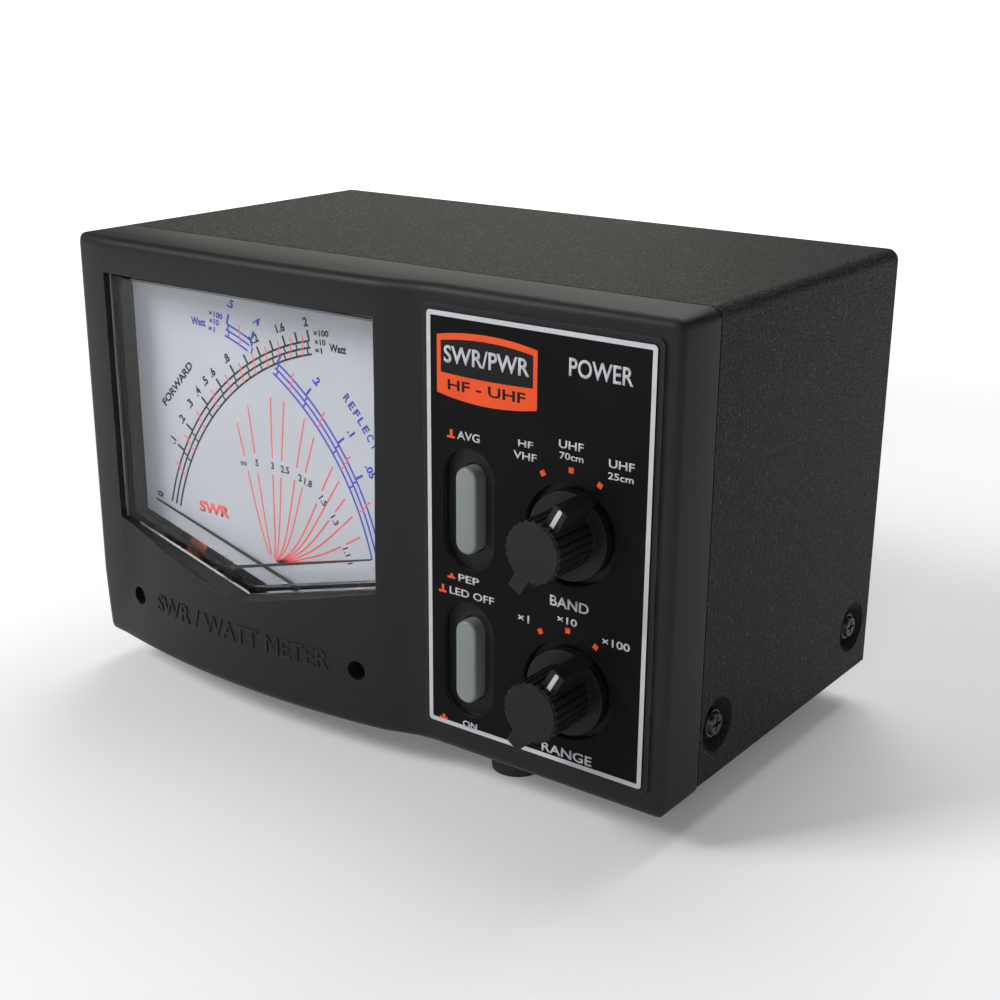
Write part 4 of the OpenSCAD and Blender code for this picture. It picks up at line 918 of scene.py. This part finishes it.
def makeScaleArcs(v, inks, lift):
    fwd, rev = dialScales["forward"], dialScales["reflected"]
    for r in fwd["radii"]:
        addBand(inks["black"], arcPoints(fwd, r, fwd["zero"], reading(fwd, 2.0)), fwd["lineWidth"], lift)
    for r in rev["radii"]:
        addBand(inks["blue"], arcPoints(rev, r, rev["zero"], rev["breakAt"]), rev["lineWidth"], lift)
        end = arcPoints(rev, r, reading(rev, 0.4), reading(rev, 0.5), 10)
        addBand(inks["blue"], end, rev["endWidth"], lift)
    for key, ink in (("forward", "black"), ("reflected", "blue")):
        s, r = dialScales[key], dialWords["labelRadius"][key]
        for body, value in dialWords[key]:
            a = reading(s, value)
            px, pz = s["pivot"]
            x, z = px - s["side"] * r * math.cos(math.radians(a)), pz + r * math.sin(math.radians(a))
            turn = s["side"] * (90 - a)
            addWord(inks[ink], body, x, z, None, dialWords["labelTall"], lift, turn, v["bold"])


def makeDialWords(v, inks, lift):
    for ink, bold in (("black", v["bold"]), ("blue", v["bold"]), ("red", 0.04)):
        for body, x, z, w, h, t in dialWords[ink]:
            addWord(inks[ink], body, x, z, w, h, lift, t, bold)
    word, r, a0, step, wide, tall = dialWords["arcWord"]
    for i, letter in enumerate(word):
        a = a0 - step * i
        addWord(inks["blue"], letter, pivotLeft[0] + r * math.cos(math.radians(a)),
                pivotLeft[1] + r * math.sin(math.radians(a)), wide, tall, lift, a - 90, 0.025)


# lines of equal SWR, which both needles cross where their powers have that ratio
def makeSwrLines(v, inks, lift):
    fwd, rev = dialScales["forward"], dialScales["reflected"]
    for swr, endAngle, gapAt, body in v["ends"]:
        rho2 = ((swr - 1) / (swr + 1)) ** 2
        parts, now = [], []
        a0 = fwd["zero"] + v["start"]
        for i in range(1, v["steps"] + 1):
            a = a0 + (endAngle - a0) * i / v["steps"]
            power = ((a - fwd["zero"]) / fwd["span"]) ** (1 / fwd["power"])
            x, z = crossing(a, reading(rev, power * rho2))
            if math.hypot(x - v["heart"][0], z - v["heart"][1]) < v["heartSize"]:
                continue
            if gapAt and math.hypot(x - gapAt[0], z - gapAt[1]) < v["gap"]:
                if len(now) > 1:
                    parts.append(now)
                now = []
            else:
                now.append((x, z))
        if len(now) > 1:
            parts.append(now)
        for part in parts:
            addBand(inks["red"], part, v["width"], lift)
        if body:
            tall = v["endlessTall"] if body == "oo" else v["tall"]
            addWord(inks["black"], body, *gapAt, None, tall, lift, v["turns"].get(body, 0))


def makeDialMarks(v, face, shift):
    tree, ids = markTree()
    rows = []
    for s in dialScales.values():
        inner, mid, outer = s["radii"]
        long, short = v["markWidths"]
        redLong, redShort = v["redWidths"]
        none, half, whole = v["slips"]
        below, above = v["redReach"]
        for row in s["marks"]:
            rows.append((s, row, outer, s["tip"], long, none, s["ink"]))
            rows.append((s, row, mid, outer, short, half, s["ink"]))
            rows.append((s, row, inner, mid, short, whole, s["ink"]))
        for row in s["redMarks"]:
            rows.append((s, row, outer + below, outer + above, redLong, none, "redInk"))
            rows.append((s, row, mid, outer, redShort, half, "redInk"))
            rows.append((s, row, inner, mid, redShort, whole, "redInk"))
    bm = bmesh.new()
    used = []
    for s, (count, first, step), inner, outer, width, slip, ink in rows:
        mesh = runTree(tree, ids, {"Count": count, "First": first, "Step": step, "Power": s["power"],
                                   "Span": s["span"], "Zero": s["zero"], "Slip": slip, "Inner": inner,
                                   "Outer": outer, "Width": width, "Side": s["side"], "Ink": finishes[ink]})
        if ink not in used:
            used.append(ink)
        before, facesBefore = len(bm.verts), len(bm.faces)
        bm.from_mesh(mesh)
        bm.verts.ensure_lookup_table()
        bm.faces.ensure_lookup_table()
        for f in bm.faces[facesBefore:]:
            f.material_index = used.index(ink)
        px, pz = s["pivot"]
        for p in bm.verts[before:]:
            p.co = at(px + p.co.x, face - v["markLift"] + p.co.y, pz + p.co.z) + shift
        bpy.data.meshes.remove(mesh)
    finishPiece("dialMarks", bm, used, "case")


def makeDial(v):
    shift = Vector((v["shift"][0], 0, v["shift"][1])) * mm
    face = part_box("dial_plate")[0][1] / mm - faceY / mm
    inks = {"black": bmesh.new(), "blue": bmesh.new(), "red": bmesh.new()}
    lift = face - v["lift"]
    makeScaleArcs(v, inks, lift)
    makeDialWords(v, inks, lift)
    makeSwrLines(swrLines, inks, lift)
    for ink, bm in inks.items():
        bmesh.ops.translate(bm, verts=bm.verts, vec=shift)
        finishPiece(f"dial{ink.title()}Print", thicken(bm, v["depth"]), f"{ink}Ink", "case")
    makeDialMarks(v, face, shift)


makeDial(dialSetup)
print("dial printed")


# wire on the moving coils
coilSetup = {"turns": 15, "halfLength": 7.82, "wire": 0.16, "halfWidth": 2.25, "front": 9.72,
             "back": 25.45, "turn": 60}


def makeCoilTurns(v):
    tree, ids = loopTree()
    for kind, (px, pz), turn in (("reflected", pivotLeft, v["turn"]),
                                 ("forward", pivotRight, 180 - v["turn"])):
        mesh = runTree(tree, ids, {"Turns": v["turns"], "Half Length": v["halfLength"], "Front": v["front"],
                                   "Back": v["back"], "Wire": v["wire"], "Half Width": v["halfWidth"],
                                   "Ink": finishes["copper"]})
        bm = bmesh.new()
        bm.from_mesh(mesh)
        bpy.data.meshes.remove(mesh)
        c, s = math.cos(math.radians(turn)), math.sin(math.radians(turn))
        middle = (v["front"] + v["back"]) / 2
        for p in bm.verts:
            x, y, z = p.co
            p.co = at(px + x * c - z * s, middle + y, pz + x * s + z * c)
        bmesh.ops.recalc_face_normals(bm, faces=bm.faces)
        finishPiece(kind + "CoilTurns", bm, "copper", kind + "_pointer", 60)


makeCoilTurns(coilSetup)
print("coils wound")


# threads of the rear sockets
threadSetup = {"pitch": 1.058, "radius": 7.9, "ridge": 0.26, "start": 91.8, "lead": 0.8, "side": 24}


def makeThreads(v):
    tree, ids = threadTree()
    for node, name in (("hf_sockets", "hfSocketThreads"), ("uhf_sockets", "uhfSocketThreads")):
        low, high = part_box(node)
        end = (high[1] - faceY) / mm - v["lead"]
        middle = ((low[2] + high[2]) / 2 - deckZ) / mm
        mesh = runTree(tree, ids, {"Turns": (end - v["start"]) / v["pitch"], "Pitch": v["pitch"],
                                   "Radius": v["radius"], "Ridge": v["ridge"], "Ink": finishes["nickel"]})
        bm = bmesh.new()
        for side in (-1, 1):
            before = len(bm.verts)
            bm.from_mesh(mesh)
            bm.verts.ensure_lookup_table()
            for p in bm.verts[before:]:
                x, y, z = p.co
                p.co = at(side * v["side"] + x, end - z, middle + y)
        bpy.data.meshes.remove(mesh)
        bmesh.ops.recalc_face_normals(bm, faces=bm.faces)
        finishPiece(name, bm, "nickel", "case", 50)


makeThreads(threadSetup)
print("threads cut")


# window, keys and knobs
paneFront = faceY + 0.05 * mm
roundedCopy("meter_window", "windowPane", "window", "case", width=0.7, steps=2,
            edgeAngle=70, smooth=8, keep=lambda e: all(v.co.y < paneFront for v in e.verts))

keySetup = {"edge": 0.65, "steps": 4}


def makeKeys(v):
    for node, body, name in (("avg_pep_button", "avg_pep_key", "avgPepKeycap"),
                             ("led_button", "led_key", "ledKeycap")):
        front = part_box(node)[0][1] + 0.01 * mm
        roundedCopy(node, name, "key", body, width=v["edge"], steps=v["steps"], edgeAngle=60,
                    smooth=40, keep=lambda e: all(p.co.y < front for p in e.verts))


makeKeys(keySetup)

# from the knob's middle outwards, turned with the knob
pointerLine = {"start": 5.6, "end": 9.85, "wide": 0.9, "corner": 0.35, "front": -10.53, "turn": 30}


# middle of a knob on the panel
def knobMiddle(jointName):
    p = joints[jointName]["pos_m"]
    return p[0] / mm, (p[2] - deckZ) / mm


def makePointerLines(v):
    for jointName, body, name in (("band_turn", "band_selector", "bandPointerLine"),
                                  ("range_turn", "range_selector", "rangePointerLine")):
        cx, cz = knobMiddle(jointName)
        c, s = math.cos(math.radians(v["turn"])), math.sin(math.radians(v["turn"]))
        line = pillOutline(0, (v["start"] + v["end"]) / 2, v["wide"], v["end"] - v["start"], v["corner"], 4)
        bm = bmesh.new()
        addShape(bm, [(cx + x * c + r * s, cz - x * s + r * c) for x, r in line], v["front"])
        finishPiece(name, thicken(bm), "whiteInk", body)


makePointerLines(pointerLine)


# orange position dots round each knob
def makeDots(v):
    bm = bmesh.new()
    h = v["size"] / 2
    for jointName in ("band_turn", "range_turn"):
        cx, cz = knobMiddle(jointName)
        for i in (-1, 0, 1):
            c, s = math.cos(math.radians(v["step"] * i)), math.sin(math.radians(v["step"] * i))
            x, z = cx + v["radius"] * s, cz + v["radius"] * c
            addShape(bm, [(x + h * (sx * c + sz * s), z + h * (sz * c - sx * s))
                          for sx, sz in ((-1, -1), (1, -1), (1, 1), (-1, 1))], labelPrint["lift"])
    finishPiece("positionDots", thicken(bm), "orangeInk", "case")


makeDots(labelPrint["dots"])
print("controls made")
